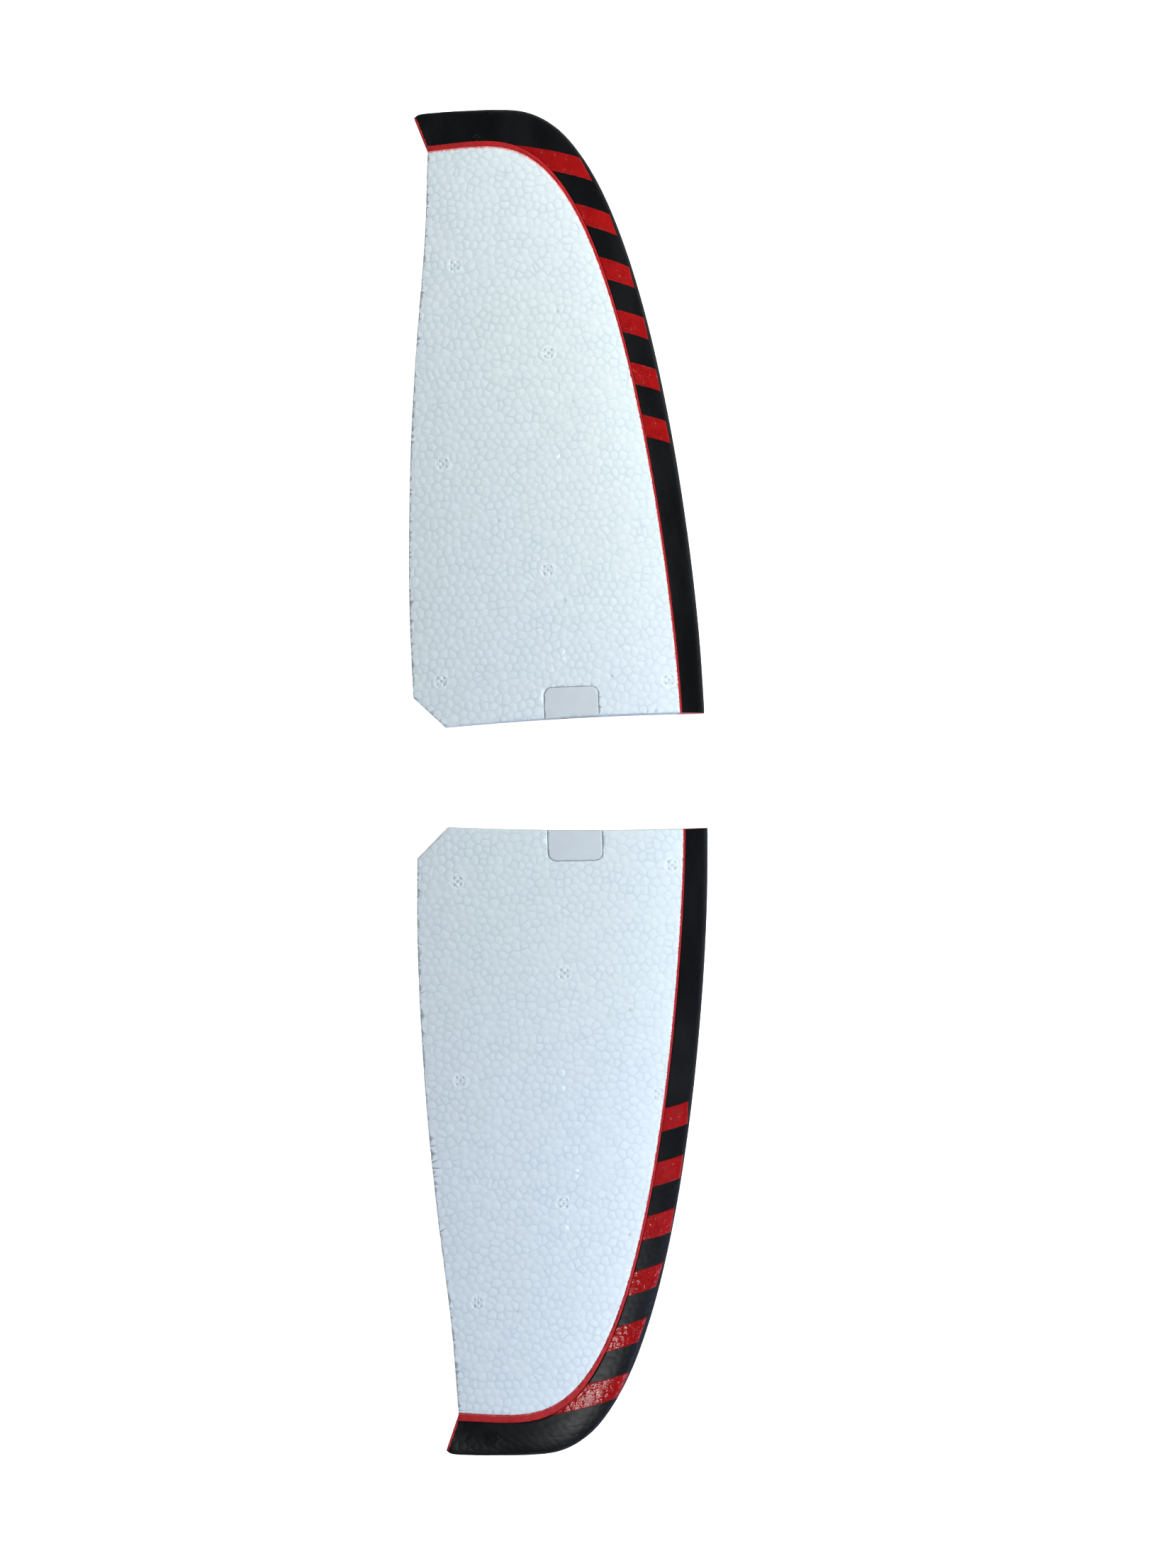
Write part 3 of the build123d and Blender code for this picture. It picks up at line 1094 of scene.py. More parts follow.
@dataclass(frozen=True)
class BlackPaint(Finish):
    """Satin black over bead foam: beads barely show, speckled with pale flecks, glossier over the painted
    vent.
    """

    SLOW = Pattern(55.0, 3.0, stretch=(1.0, 0.35, 1.0), span=(0.35, 0.7))
    WRINKLE, WRINKLE_HEIGHT = Pattern(700.0, 3.0, shift=2.0), 4.0
    DUST, SCUFF, PITS = (1900.0, 0.06), (160.0, 0.10), (1500.0, 0.35)
    MARK_GLOSS = 0.22
    DEPTH, STRENGTH = 0.00010, 0.7

    base: Colour = Colour(0.0030, 0.0034, 0.0040)
    worn: Colour = Colour(0.0062, 0.0068, 0.0076)
    fleck: Colour = Colour(0.14, 0.14, 0.15)
    coat: float = 0.10
    coat_roughness: float = 0.35

    def dress(self, nodes: Nodes, shader: bpy.types.Node, shelf: EffectShelf) -> None:
        """Colour by slow and fine noise, roughness by worn gloss.

        Args:
            nodes: the material's nodes.
            shader: its Principled shader.
            shelf: shared effects.
        """
        body = nodes.mix(nodes.noise(self.SLOW), self.base, self.worn)
        body = nodes.mix(shelf.use(nodes, Effect.DUST, *self.DUST), body, self.fleck)
        nodes.link(body, shader.inputs["Base Color"])
        mark = nodes.value("mark")
        rough = nodes.math("ADD", self.roughness, shelf.use(nodes, Effect.SCUFF, *self.SCUFF))
        rough = nodes.math("SUBTRACT", rough, nodes.math("MULTIPLY", mark, self.MARK_GLOSS))
        nodes.link(rough, shader.inputs["Roughness"])
        shader.inputs["Coat Weight"].default_value = self.coat
        shader.inputs["Coat Roughness"].default_value = self.coat_roughness
        wrinkle = nodes.math("MULTIPLY", nodes.noise(self.WRINKLE), mark)
        fine = shelf.use(nodes, Effect.PITS, *self.PITS)
        height = nodes.math("ADD", fine, nodes.math("MULTIPLY", wrinkle, self.WRINKLE_HEIGHT))
        self.bump(nodes, shader, height, self.DEPTH, self.STRENGTH)


@dataclass(frozen=True)
class RedPaint(Finish):
    """Matte sprayed red, thin and speckled where it ends."""

    SPECKLE = Pattern(600.0, 3.0, span=(0.42, 0.72))
    SHADE = Pattern(150.0, span=(0.3, 0.7, 0.92, 1.06))
    EDGE_WIDTH = 0.45
    THIN_GAIN, THIN_LEAST = 0.6, 0.25
    SCUFF, PITS = (300.0, 0.10), (1800.0, 0.8)
    DEPTH = 0.00006

    base: Colour = Colour(0.410, 0.015, 0.018)
    thin: Colour = Colour(0.56, 0.10, 0.10)

    def dress(self, nodes: Nodes, shader: bpy.types.Node, shelf: EffectShelf) -> None:
        """Colour by blotches and by distance from the stripe's inner edge.

        Args:
            nodes: the material's nodes.
            shader: its Principled shader.
            shelf: shared effects.
        """
        edge = nodes.math("SUBTRACT", 1.0, nodes.ramp(nodes.value("border"), 0.0, self.EDGE_WIDTH))
        speckle = nodes.math("MULTIPLY_ADD", nodes.noise(self.SPECKLE), self.THIN_GAIN, self.THIN_LEAST)
        body = nodes.mix(nodes.math("MULTIPLY", edge, speckle), self.base, self.thin)
        body = nodes.scale(body, nodes.noise(self.SHADE))
        nodes.link(body, shader.inputs["Base Color"])
        rough = nodes.math("ADD", self.roughness, shelf.use(nodes, Effect.SCUFF, *self.SCUFF))
        nodes.link(rough, shader.inputs["Roughness"])
        self.bump(nodes, shader, shelf.use(nodes, Effect.PITS, *self.PITS), self.DEPTH)


@dataclass(frozen=True)
class GlossTape(Finish):
    """Glossy red tape laid over the beads, with pale flecks where it lifts."""

    SLOW = Pattern(180.0, span=(0.35, 0.7))
    CREASE, CREASE_WIDTH = Pattern(330.0, shift=4.0), 0.014
    CREASED = Pattern(210.0, 1.0, shift=8.0, span=(0.60, 0.70))
    WRINKLE, WRINKLE_HEIGHT = Pattern(420.0, 4.0), 1.7
    FLECK_SHARE = 0.7
    SCUFF = (220.0, 0.05)
    DEPTH, STRENGTH = 0.00024, 0.9

    base: Colour = Colour(0.290, 0.0055, 0.0060)
    deep: Colour = Colour(0.245, 0.0040, 0.0050)
    fleck: Colour = Colour(0.80, 0.34, 0.32)

    def dress(self, nodes: Nodes, shader: bpy.types.Node, shelf: EffectShelf) -> None:
        """Colour by slow noise and flecks, bump by wrinkles.

        Args:
            nodes: the material's nodes.
            shader: its Principled shader.
            shelf: shared effects.
        """
        body = nodes.mix(nodes.noise(self.SLOW), self.base, self.deep)
        ridge = nodes.math("ABSOLUTE", nodes.math("SUBTRACT", nodes.noise(self.CREASE), 0.5))
        crease = nodes.math("SUBTRACT", 1.0, nodes.ramp(ridge, 0.0, self.CREASE_WIDTH))
        fleck = nodes.math("MULTIPLY", crease, nodes.noise(self.CREASED))
        body = nodes.mix(nodes.math("MULTIPLY", fleck, self.FLECK_SHARE), body, self.fleck)
        nodes.link(body, shader.inputs["Base Color"])
        rough = nodes.math("ADD", self.roughness, shelf.use(nodes, Effect.SCUFF, *self.SCUFF))
        nodes.link(rough, shader.inputs["Roughness"])
        wrinkle = nodes.math("MULTIPLY", nodes.noise(self.WRINKLE), self.WRINKLE_HEIGHT)
        height = nodes.math("MULTIPLY_ADD", fleck, self.FLECK_SHARE, wrinkle)
        self.bump(nodes, shader, height, self.DEPTH, self.STRENGTH)


@dataclass(frozen=True)
class PlainPart(Finish):
    """Smooth moulded or drawn part: one colour, with faint mottling and rubbed gloss."""

    SCUFF = (350.0, 0.06)

    base: Colour = Colour(0.5, 0.5, 0.5)
    mottle: float = 0.06
    grain: Pattern = Pattern(600.0, 3.0, shift=6.0)
    depth: float = 0.00003

    def dress(self, nodes: Nodes, shader: bpy.types.Node, shelf: EffectShelf) -> None:
        """Colour by mottling, bump by a stretched grain.

        Args:
            nodes: the material's nodes.
            shader: its Principled shader.
            shelf: shared effects.
        """
        blotch = Pattern(130.0, 3.0, span=(0.3, 0.7, 1.0 - self.mottle, 1.0 + self.mottle))
        nodes.link(nodes.scale(self.base.rgba[:3], nodes.noise(blotch)), shader.inputs["Base Color"])
        rough = nodes.math("ADD", self.roughness, shelf.use(nodes, Effect.SCUFF, *self.SCUFF))
        nodes.link(rough, shader.inputs["Roughness"])
        self.bump(nodes, shader, nodes.noise(self.grain), self.depth)


class Paints(Enum):
    """Every finish of the wing halves."""

    FOAM = BeadFoam("bead_foam", roughness=0.46, specular=0.45)
    BLACK = BlackPaint("black_paint", roughness=0.40, specular=0.40)
    RED = RedPaint("red_paint", roughness=0.55, specular=0.35)
    TAPE = GlossTape("red_tape", roughness=0.10, specular=0.5)
    PLATE = PlainPart("grey_plastic", roughness=0.42, base=Colour.screen(199, 208, 213), mottle=0.02)
    BOX = PlainPart("joiner_plastic", roughness=0.5, base=Colour(0.60, 0.62, 0.62))
    CARBON = PlainPart("carbon", roughness=0.34, base=Colour(0.030, 0.030, 0.033), mottle=0.25,
                       grain=Pattern(600.0, 3.0, 6.0, (9.0, 0.35, 9.0)), depth=0.00005)
    RUBBER = PlainPart("plug_rubber", roughness=0.7, base=Colour(0.045, 0.045, 0.047))
    FILLER = PlainPart("filler_foam", roughness=0.7, base=Colour(0.74, 0.77, 0.79),
                       grain=Pattern(900.0, 3.0, 6.0), depth=0.0001)


class Palette:
    """Builds each finish's material once."""

    def __init__(self) -> None:
        """Starts with no material built."""
        self.shelf = EffectShelf()
        self.made: dict[Paints, bpy.types.Material] = {}

    def get(self, paint: Paints) -> bpy.types.Material:
        """The material of a finish.

        Args:
            paint: which finish.

        Returns:
            Its material.
        """
        if paint not in self.made:
            self.made[paint] = paint.value.build(self.shelf)
        return self.made[paint]


# ---------------------------------------------------------------- pieces


@dataclass(frozen=True)
class RootFit:
    """Plate, box pocket and spar slot of a wing half, mm."""

    middle_y: float = 31.15
    plate_x: float = 7.2
    plate_width: float = 29.6
    plate_length: float = 16.4
    plate_thickness: float = 1.2
    plate_corner: float = 4.2
    plate_gap: float = 0.28
    box_floor: float = 1.4
    slot_x: tuple[float, float] = (-1.4, 4.6)
    slot_y: tuple[float, float] = (46.35, 287.75)
    slot_top: float = 8.05

    def plate_distance(self, points: Array) -> Array:
        """Signed distance outside the plate's rounded outline.

        Args:
            points: (n, 2) points.

        Returns:
            The signed distances, mm.
        """
        half = np.array([self.plate_width / 2, self.plate_length])
        away = np.abs(points - np.array([self.plate_x, self.middle_y])) - (half - self.plate_corner)
        outside = np.linalg.norm(np.maximum(away, 0), axis=1)
        return outside + np.minimum(away.max(axis=1), 0) - self.plate_corner

    def slot_distance(self, points: Array) -> Array:
        """Signed distance outside the spar slot.

        Args:
            points: (n, 2) points.

        Returns:
            The signed distances, mm.
        """
        low, high = np.array([self.slot_x[0], self.slot_y[0]]), np.array([self.slot_x[1], self.slot_y[1]])
        away = np.abs(points - (low + high) / 2) - (high - low) / 2
        return np.linalg.norm(np.maximum(away, 0), axis=1) + np.minimum(away.max(axis=1), 0)

    def plate_loop(self, grow: float) -> Array:
        """The plate's outline moved outwards, run past the root.

        Args:
            grow: how far outwards, mm.

        Returns:
            (n, 2) points.
        """
        half, corner = self.plate_width / 2 + grow, self.plate_corner + grow
        far, near = self.middle_y + self.plate_length + grow, self.middle_y - 12.0
        turn = np.radians(np.linspace(0, 90, 13))
        bend = corner * np.stack([np.cos(turn), np.sin(turn)], axis=1)
        right = np.array([half - corner, far - corner]) + bend
        left = right[::-1] * np.array([-1.0, 1.0])
        side = resample(np.array([[half, near], right[0]]), 2.0)[:-1]
        back = side[::-1] * np.array([-1.0, 1.0])
        return np.concatenate([side, right, left, back]) + np.array([self.plate_x, 0.0])

    def slot_loop(self, grow: float) -> Array:
        """The slot's outline moved outwards.

        Args:
            grow: how far outwards, mm.

        Returns:
            (n, 2) points.
        """
        (x0, x1), (y0, y1) = self.slot_x, self.slot_y
        x0, x1, y0, y1 = x0 - grow, x1 + grow, y0 - grow, y1 + grow
        corners = np.array([[x0, y0], [x1, y0], [x1, y1], [x0, y1]])
        ends = np.roll(corners, -1, axis=0)
        edges = [resample(np.array([a, b]), 3.0)[:-1] for a, b in zip(corners, ends)]
        return np.concatenate(edges)


@dataclass(frozen=True)
class Vent:
    """Core vent mark left by the mould: five dots in a shallow ring, mm."""

    ring: float = 4.0
    dot: float = 0.42
    spread: float = 1.8

    def dots(self, centre: tuple[float, float]) -> Array:
        """Middles of the dots: one at the centre and four at the corners of a square."""
        step = self.spread * np.array([[0, 0], [-1, -1], [1, -1], [1, 1], [-1, 1]])
        return np.array(centre) + step

    def loops(self, centre: tuple[float, float]) -> list[Array]:
        """Loops that keep the mark's shape in a net.

        Args:
            centre: middle of the mark.

        Returns:
            The loops.
        """
        rings = [circle(centre, self.ring + step, 30) for step in (-0.5, 0.0, 0.5)]
        for x, y in self.dots(centre):
            rings += [circle((x, y), self.dot, 7), circle((x, y), self.dot + 0.35, 9)]
        return rings

    def depth(self, points: Array, centre: tuple[float, float]) -> Array:
        """Depth below the surface: dots are pits with straight walls, the ring a bell-shaped ridge.

        Args:
            points: (n, 2) points.
            centre: middle of the mark.

        Returns:
            Depths, mm.
        """
        out = np.linalg.norm(points - np.array(centre), axis=1)
        pits = np.zeros(len(points))
        for dot in self.dots(centre):
            away = np.linalg.norm(points - dot, axis=1)
            pits = np.maximum(pits, 1 - soft_step(away, self.dot, self.dot + 0.35))
        return 0.35 * pits - 0.09 * np.exp(-(((out - self.ring) / 0.35) ** 2))


@dataclass(frozen=True)
class Marks:
    """Places of the small marks on one wing half, mm."""

    vents: tuple[tuple[float, float], ...]
    painted_vent: tuple[float, float]
    dents: tuple[tuple[float, float], ...]
    specks: tuple[tuple[float, float], ...]
    tapes: tuple[tuple[tuple[float, float], ...], ...]
    seed: int
    stripe_growth: float


class WingNet:
    """Triangle net over the foam and the red stripe of one half, with its heights."""

    EDGE_STEP = 0.9
    PAINT_LAP = 0.1
    LEDGE_WALL = 0.08
    POCKET_EDGES, POCKET_WALL = (-1.08, -1.15), 0.07
    SLOT_EDGES, SLOT_WALL = (0.05, 0.11), 0.06
    PLATE_BED = 0.06
    FLOOR_LIFT = 0.03
    UNDER_GROOVE, UNDER_GROOVE_WIDTH = 0.06, 0.4
    THINNEST = 0.05
    DENT_DEPTH, DENT_RADIUS, DENT_RINGS = 0.25, 0.8, (0.4, 0.9, 1.5)
    RED_STEP = 0.55
    RED_WAVE, RED_SPIKE, RED_SPIKE_FROM, RED_SPAN = 0.10, 0.7, 1.1, 400
    AFT_RIPPLE = 0.16
    ROOT_POINTS, AFT_POINTS, PAINT_POINTS = 170, 380, 1400
    NOTCH_CLEARANCE = 0.02

    def __init__(self, form: PanelForm, fit: RootFit, marks: Marks) -> None:
        """Packs the beads and fills the outline.

        Args:
            form: the half's form.
            fit: its root fittings.
            marks: its small marks.
        """
        self.form, self.fit, self.marks = form, fit, marks
        self.ribs = RibNet(form)
        self.beads = BeadPacking(form, marks.seed)
        self.vent = Vent()
        low = (form.trail_x - 8.0, form.root_y - 8.0)
        high = (form.lead_x + 8.0, form.half_span + 4.0)
        points, edges = self.beads.net(low, high)
        rim = [self.outline()]
        ledges = (fit.plate_gap, fit.plate_gap - self.LEDGE_WALL, 0.0, *self.POCKET_EDGES)
        pocket = [fit.plate_loop(grow) for grow in ledges]
        slot = [fit.slot_loop(grow) for grow in self.SLOT_EDGES]
        vents = [loop for centre in marks.vents for loop in self.vent.loops(centre)]
        dents = [circle(centre, r, 12) for centre in marks.dents + marks.specks for r in self.DENT_RINGS]
        loops = rim + pocket + slot + vents + dents
        self.plan, self.tris = triangulate(loops, [self.red_edge()], points, edges)
        self.middle = self.plan[self.tris].mean(axis=1)
        self.fields()

    def edge_of_paint(self, band: float, tip: float, growth: Callable[[Array], Array]) -> Array:
        """Inner edge of a paint: superellipse from the root to its crest, then straight to the
        trailing edge.

        Args:
            band: width of the paint at the root.
            tip: width at the tip.
            growth: extra width at each share of the way.

        Returns:
            (n, 2) points, from the root outwards.
        """
        form = self.form
        share = np.linspace(0, 1, self.PAINT_POINTS)
        turn = np.radians(90 * share)
        wide = growth(share)
        centre_y = form.root_y + form.root_rise
        n, m = form.border_powers
        reach_x = form.lead_x - band - wide - form.border_crest_x
        reach_y = form.half_span - tip - wide - centre_y
        x = form.border_crest_x + reach_x * np.cos(turn) ** (2 / n)
        y = centre_y + reach_y * np.sin(turn) ** (2 / m)
        start = np.array([[x[0], centre_y - 8.0]])
        end = np.array([[form.trail_x, y[-1] - form.border_dip]])
        return np.concatenate([start, np.stack([x, y], axis=1), end])

    def red_edge(self) -> Array:
        """Ragged inner edge of the red stripe.

        Returns:
            (n, 2) points at even steps.
        """

        def growth(share: Array) -> Array:
            """Fine waves, a few spikes, and the half's own slow growth towards the tip."""
            way = share * self.RED_SPAN
            wave = waves(way, self.marks.seed + 5, (1.7, 2.9, 5.3, 11.0))
            spike = np.maximum(waves(way, self.marks.seed + 6, (2.3, 3.7, 9.1)) - self.RED_SPIKE_FROM, 0)
            slow = self.marks.stripe_growth * soft_step(share, 0.55, 0.95)
            return self.RED_WAVE * wave + self.RED_SPIKE * spike + slow

        form = self.form
        band, tip = form.nose_band + form.stripe_root, form.tip_band + form.stripe_tip
        return resample(self.edge_of_paint(band, tip, growth), self.RED_STEP)

    def outline(self) -> Array:
        """Anticlockwise rim of the net: root end, black edge, notch, trailing edge, chamfer.

        Returns:
            (n, 2) points.
        """
        form = self.form
        tail = float(form.trailing(np.array([form.root_y]))[0])
        corner = np.array([tail + form.chamfer_chord, form.root_y])
        band, cap = form.nose_band - self.PAINT_LAP, form.tip_band - self.PAINT_LAP
        black = resample(self.edge_of_paint(band, cap, np.zeros_like), self.EDGE_STEP / 2)
        black = black[black[:, 1] > form.rootline(black[:, 0])]
        root_x = np.linspace(corner[0], black[0, 0], self.ROOT_POINTS)
        root = np.stack([root_x, form.rootline(root_x)], axis=1)
        notch = np.array([float(form.trailing(np.array([form.notch_y]))[0]), form.notch_y])
        tip = np.array([notch[0] - form.notch_slant, form.half_span - form.corner_drop])
        off, way = black - notch, tip - notch
        black = black[off[:, 0] * way[1] - off[:, 1] * way[0] > self.NOTCH_CLEARANCE]
        aft_y = np.linspace(form.notch_y, form.root_y + form.chamfer_span, self.AFT_POINTS)
        aft = np.stack([form.trailing(aft_y), aft_y], axis=1)
        aft[:, 0] += self.AFT_RIPPLE * np.abs(waves(aft_y, self.marks.seed + 2, (2.1, 4.7, 9.3, 23.0)))
        cut = corner[0] - form.chamfer_chord / form.chamfer_span * (aft[:, 1] - form.root_y)
        aft = aft[aft[:, 0] >= cut]
        slope = resample(np.array([aft[-1], corner]), self.EDGE_STEP)[1:-1]
        return np.concatenate([root[:-1], black, notch[None, :], aft[1:], slope])

    def fields(self) -> None:
        """Works out the heights, the seams and the paint levels at every net point."""
        plan, fit = self.plan, self.fit
        self.smooth_top = self.ribs.top(plan)
        self.seam, _, self.round_seam = self.beads.seam(plan)
        _, bead, _ = self.beads.seam(self.middle)
        self.tint, self.gloss = self.beads.tint[bead], self.beads.gloss[bead]
        self.border = self.form.red_level(plan)
        self.mark = np.zeros(len(plan))
        relief = self.beads.relief(self.seam)
        self.vented = np.zeros(len(plan))
        for centre in self.marks.vents:
            depth = self.vent.depth(plan, centre)
            relief -= depth
            self.vented += depth
        for centre in self.marks.dents + self.marks.specks:
            away = np.linalg.norm(plan - np.array(centre), axis=1)
            near = np.exp(-((away / self.DENT_RADIUS) ** 2))
            relief -= self.DENT_DEPTH * near
            self.mark = np.maximum(self.mark, near)
        self.surface = self.smooth_top + relief
        self.from_plate = fit.plate_distance(plan)
        ledge = np.clip((fit.plate_gap - self.from_plate) / self.LEDGE_WALL, 0, 1)
        pocket = np.clip((self.POCKET_EDGES[0] - self.from_plate) / self.POCKET_WALL, 0, 1)
        cut = self.smooth_top - fit.plate_thickness - self.PLATE_BED
        height = self.surface + ledge * (cut - self.surface)
        self.foam_top = height + pocket * (fit.box_floor - self.THINNEST - height)
        slot = np.clip((self.SLOT_EDGES[1] - fit.slot_distance(plan)) / self.SLOT_WALL, 0, 1)
        groove = self.UNDER_GROOVE * np.exp(-((self.seam / self.UNDER_GROOVE_WIDTH) ** 2))
        self.foam_under = self.FLOOR_LIFT + groove + slot * (fit.slot_top - self.FLOOR_LIFT)
        self.foam_under = np.minimum(self.foam_under, self.foam_top - self.THINNEST)

    def part(self, keep: Array, top: Array, under: Array) -> MeshData:
        """Closed solid over the chosen triangles.

        Args:
            keep: which triangles.
            top: upper heights at every net point.
            under: lower heights.

        Returns:
            The solid, with seam, border and mark per point and tint and gloss per face.
        """
        used, again = np.unique(self.tris[keep], return_inverse=True)
        fields = {"seam": self.round_seam, "vent": self.vented, "border": self.border, "mark": self.mark}
        values = {name: value[used] for name, value in fields.items()}
        solid = closed_sheet(self.plan[used], again.reshape(-1, 3), top[used], under[used], values)
        walls = len(solid.faces) - 2 * int(keep.sum())
        for name, value in (("tint", self.tint[keep]), ("gloss", self.gloss[keep])):
            solid.face_values[name] = np.r_[value, value, np.zeros(walls)]
        return solid


class NoseSkin:
    """Black painted nose and tip: a closed profile carried along the leading edge."""

    TOP, UNDER, WALL = 40, 22, 4
    ROWS = 620
    ROOT_REACH = 12.0
    UNDERCUT = 0.4
    LIFT = 0.02
    RIM_SHARE, RIM_FADE = 0.35, (0.6, 4.0)
    VENT_RADIUS, PUCKER = 4.4, 0.22
    LINE_AT, LINE_WIDTH, LINE_HEIGHT = 2.9, 0.28, 0.035
    UNDER_SHARE = 0.25

    def __init__(self, net: WingNet) -> None:
        """Keeps the net whose foam the nose joins.

        Args:
            net: the half's net.
        """
        self.net = net

    def stations(self) -> tuple[Array, Array, Array]:
        """Rib ends along the nose, even in arc length, and the share of the chord at the paint's edge.

        Returns:
            Trailing points, leading points and shares.
        """
        net, form = self.net, self.net.form
        ribs = net.ribs
        start_y = float(form.rootline(np.array([form.lead_x]))[0])
        first = np.interp(start_y, ribs.lead[:40, 1], ribs.u[:40])
        arc0 = np.interp(first, ribs.u, ribs.arc)
        arc = np.linspace(arc0, ribs.arc[-1], self.ROWS)
        u = np.interp(arc, ribs.arc, ribs.u)
        trail, lead = ribs.ends(u)

        def painted(share: Array) -> Array:
            """Which shares of the chord lie under the black."""
            return form.black_level(lead + share[:, None] * (trail - lead)) > 0

        edge = bisect(painted, np.zeros(len(u)), np.ones(len(u)))
        return trail, lead, edge

    def build(self) -> MeshData:
        """Makes the nose.

        Each rib's profile runs from the paint's inner edge over the top to the nose, back along
        the underside and up the hidden inner wall. Along the top the share of the chord goes as
        the square of the step, so that the round nose gets even steps. Beads and dents move the
        points along the surface normal.

        Returns:
            The closed piece, with seam, mark and border per point.
        """
        net, form = self.net, self.net.form
        trail, lead, edge = self.stations()
        t = np.concatenate([np.linspace(1, 0, self.TOP), -np.linspace(0, 1, self.UNDER)[1:]])
        share = edge[:, None] * t[None, :] ** 2
        plan = lead[:, None, :] + share[..., None] * (trail - lead)[:, None, :]
        chord = np.linalg.norm(trail - lead, axis=1)[:, None]
        gain = np.clip(1 - (plan[..., 1] - plan[:1, :, 1]) / self.ROOT_REACH, 0, 1)
        plan[..., 1] += gain * (form.rootline(plan[:1, :, 0]) - plan[:1, :, 1])
        upper = (t >= 0)[None, :]
        top = form.top(share, chord)
        nose = form.nose_share * form.thickness_ratio * chord
        fade = 1 - np.sqrt(np.clip(share / form.nose_curve, 0, 1))
        floor = np.maximum((nose + self.UNDERCUT) * fade**2 - self.UNDERCUT, self.LIFT)
        base = np.concatenate([plan, np.where(upper, top, floor)[..., None]], axis=-1)
        flat = plan.reshape(-1, 2)
        seam, _, _ = net.beads.seam(flat)
        rim = (share * chord).ravel()
        depth = self.RIM_SHARE + (1 - self.RIM_SHARE) * soft_step(rim, *self.RIM_FADE)
        relief = net.beads.relief(seam, *PAINTED_RELIEF) * depth
        away = np.linalg.norm(flat - np.array(net.marks.painted_vent), axis=1)
        mark = np.exp(-((away / self.VENT_RADIUS) ** 4))
        pucker = waves(flat[:, 0] + 1.7 * flat[:, 1], net.marks.seed, (1.3, 1.9, 2.7)) * waves(
            flat[:, 1] - 1.3 * flat[:, 0], net.marks.seed + 1, (1.1, 1.7, 3.1))
        relief += self.PUCKER * mark * pucker
        relief += self.LINE_HEIGHT * np.exp(-(((rim - self.LINE_AT) / self.LINE_WIDTH) ** 2))
        relief = relief.reshape(share.shape) * np.where(upper, 1.0, self.UNDER_SHARE)
        relief = relief + np.where(upper, self.LIFT, 0.0)
        along, across = np.gradient(base, axis=0), np.gradient(base, axis=1)
        normal = np.cross(across, along)
        normal /= np.maximum(np.linalg.norm(normal, axis=-1, keepdims=True), 1e-9)
        normal *= np.where(np.sum(normal[:, : self.TOP // 2, 2]) < 0, -1.0, 1.0)
        skin = base + normal * relief[..., None]
        skin[..., 2] = np.where(upper, skin[..., 2], np.maximum(skin[..., 2], self.LIFT))
        climb = np.linspace(0, 1, self.WALL + 2)[1:-1]
        wall = skin[:, -1:, :] + climb[None, :, None] * (skin[:, :1, :] - skin[:, -1:, :])
        profile = np.concatenate([skin, wall], axis=1)
        rows, columns = profile.shape[:2]
        points = profile.reshape(-1, 3)
        quads = grid_quads(rows, columns, wrap=True)
        caps = [np.arange(columns)[::-1], np.arange(columns) + (rows - 1) * columns]
        faces = quads.tolist() + [cap.tolist() for cap in caps]
        pad = np.zeros((rows, self.WALL))
        seam_all = np.concatenate([seam.reshape(share.shape), pad + 2], axis=1).ravel()
        mark_all = np.concatenate([mark.reshape(share.shape) * upper, pad], axis=1).ravel()
        values = {"seam": seam_all, "mark": mark_all, "border": np.full(len(points), 9.0)}
        material, smooth = [0] * len(quads) + [1, 2], [True] * len(quads) + [False, False]
        return MeshData(points, faces, material, smooth, values).outwards()


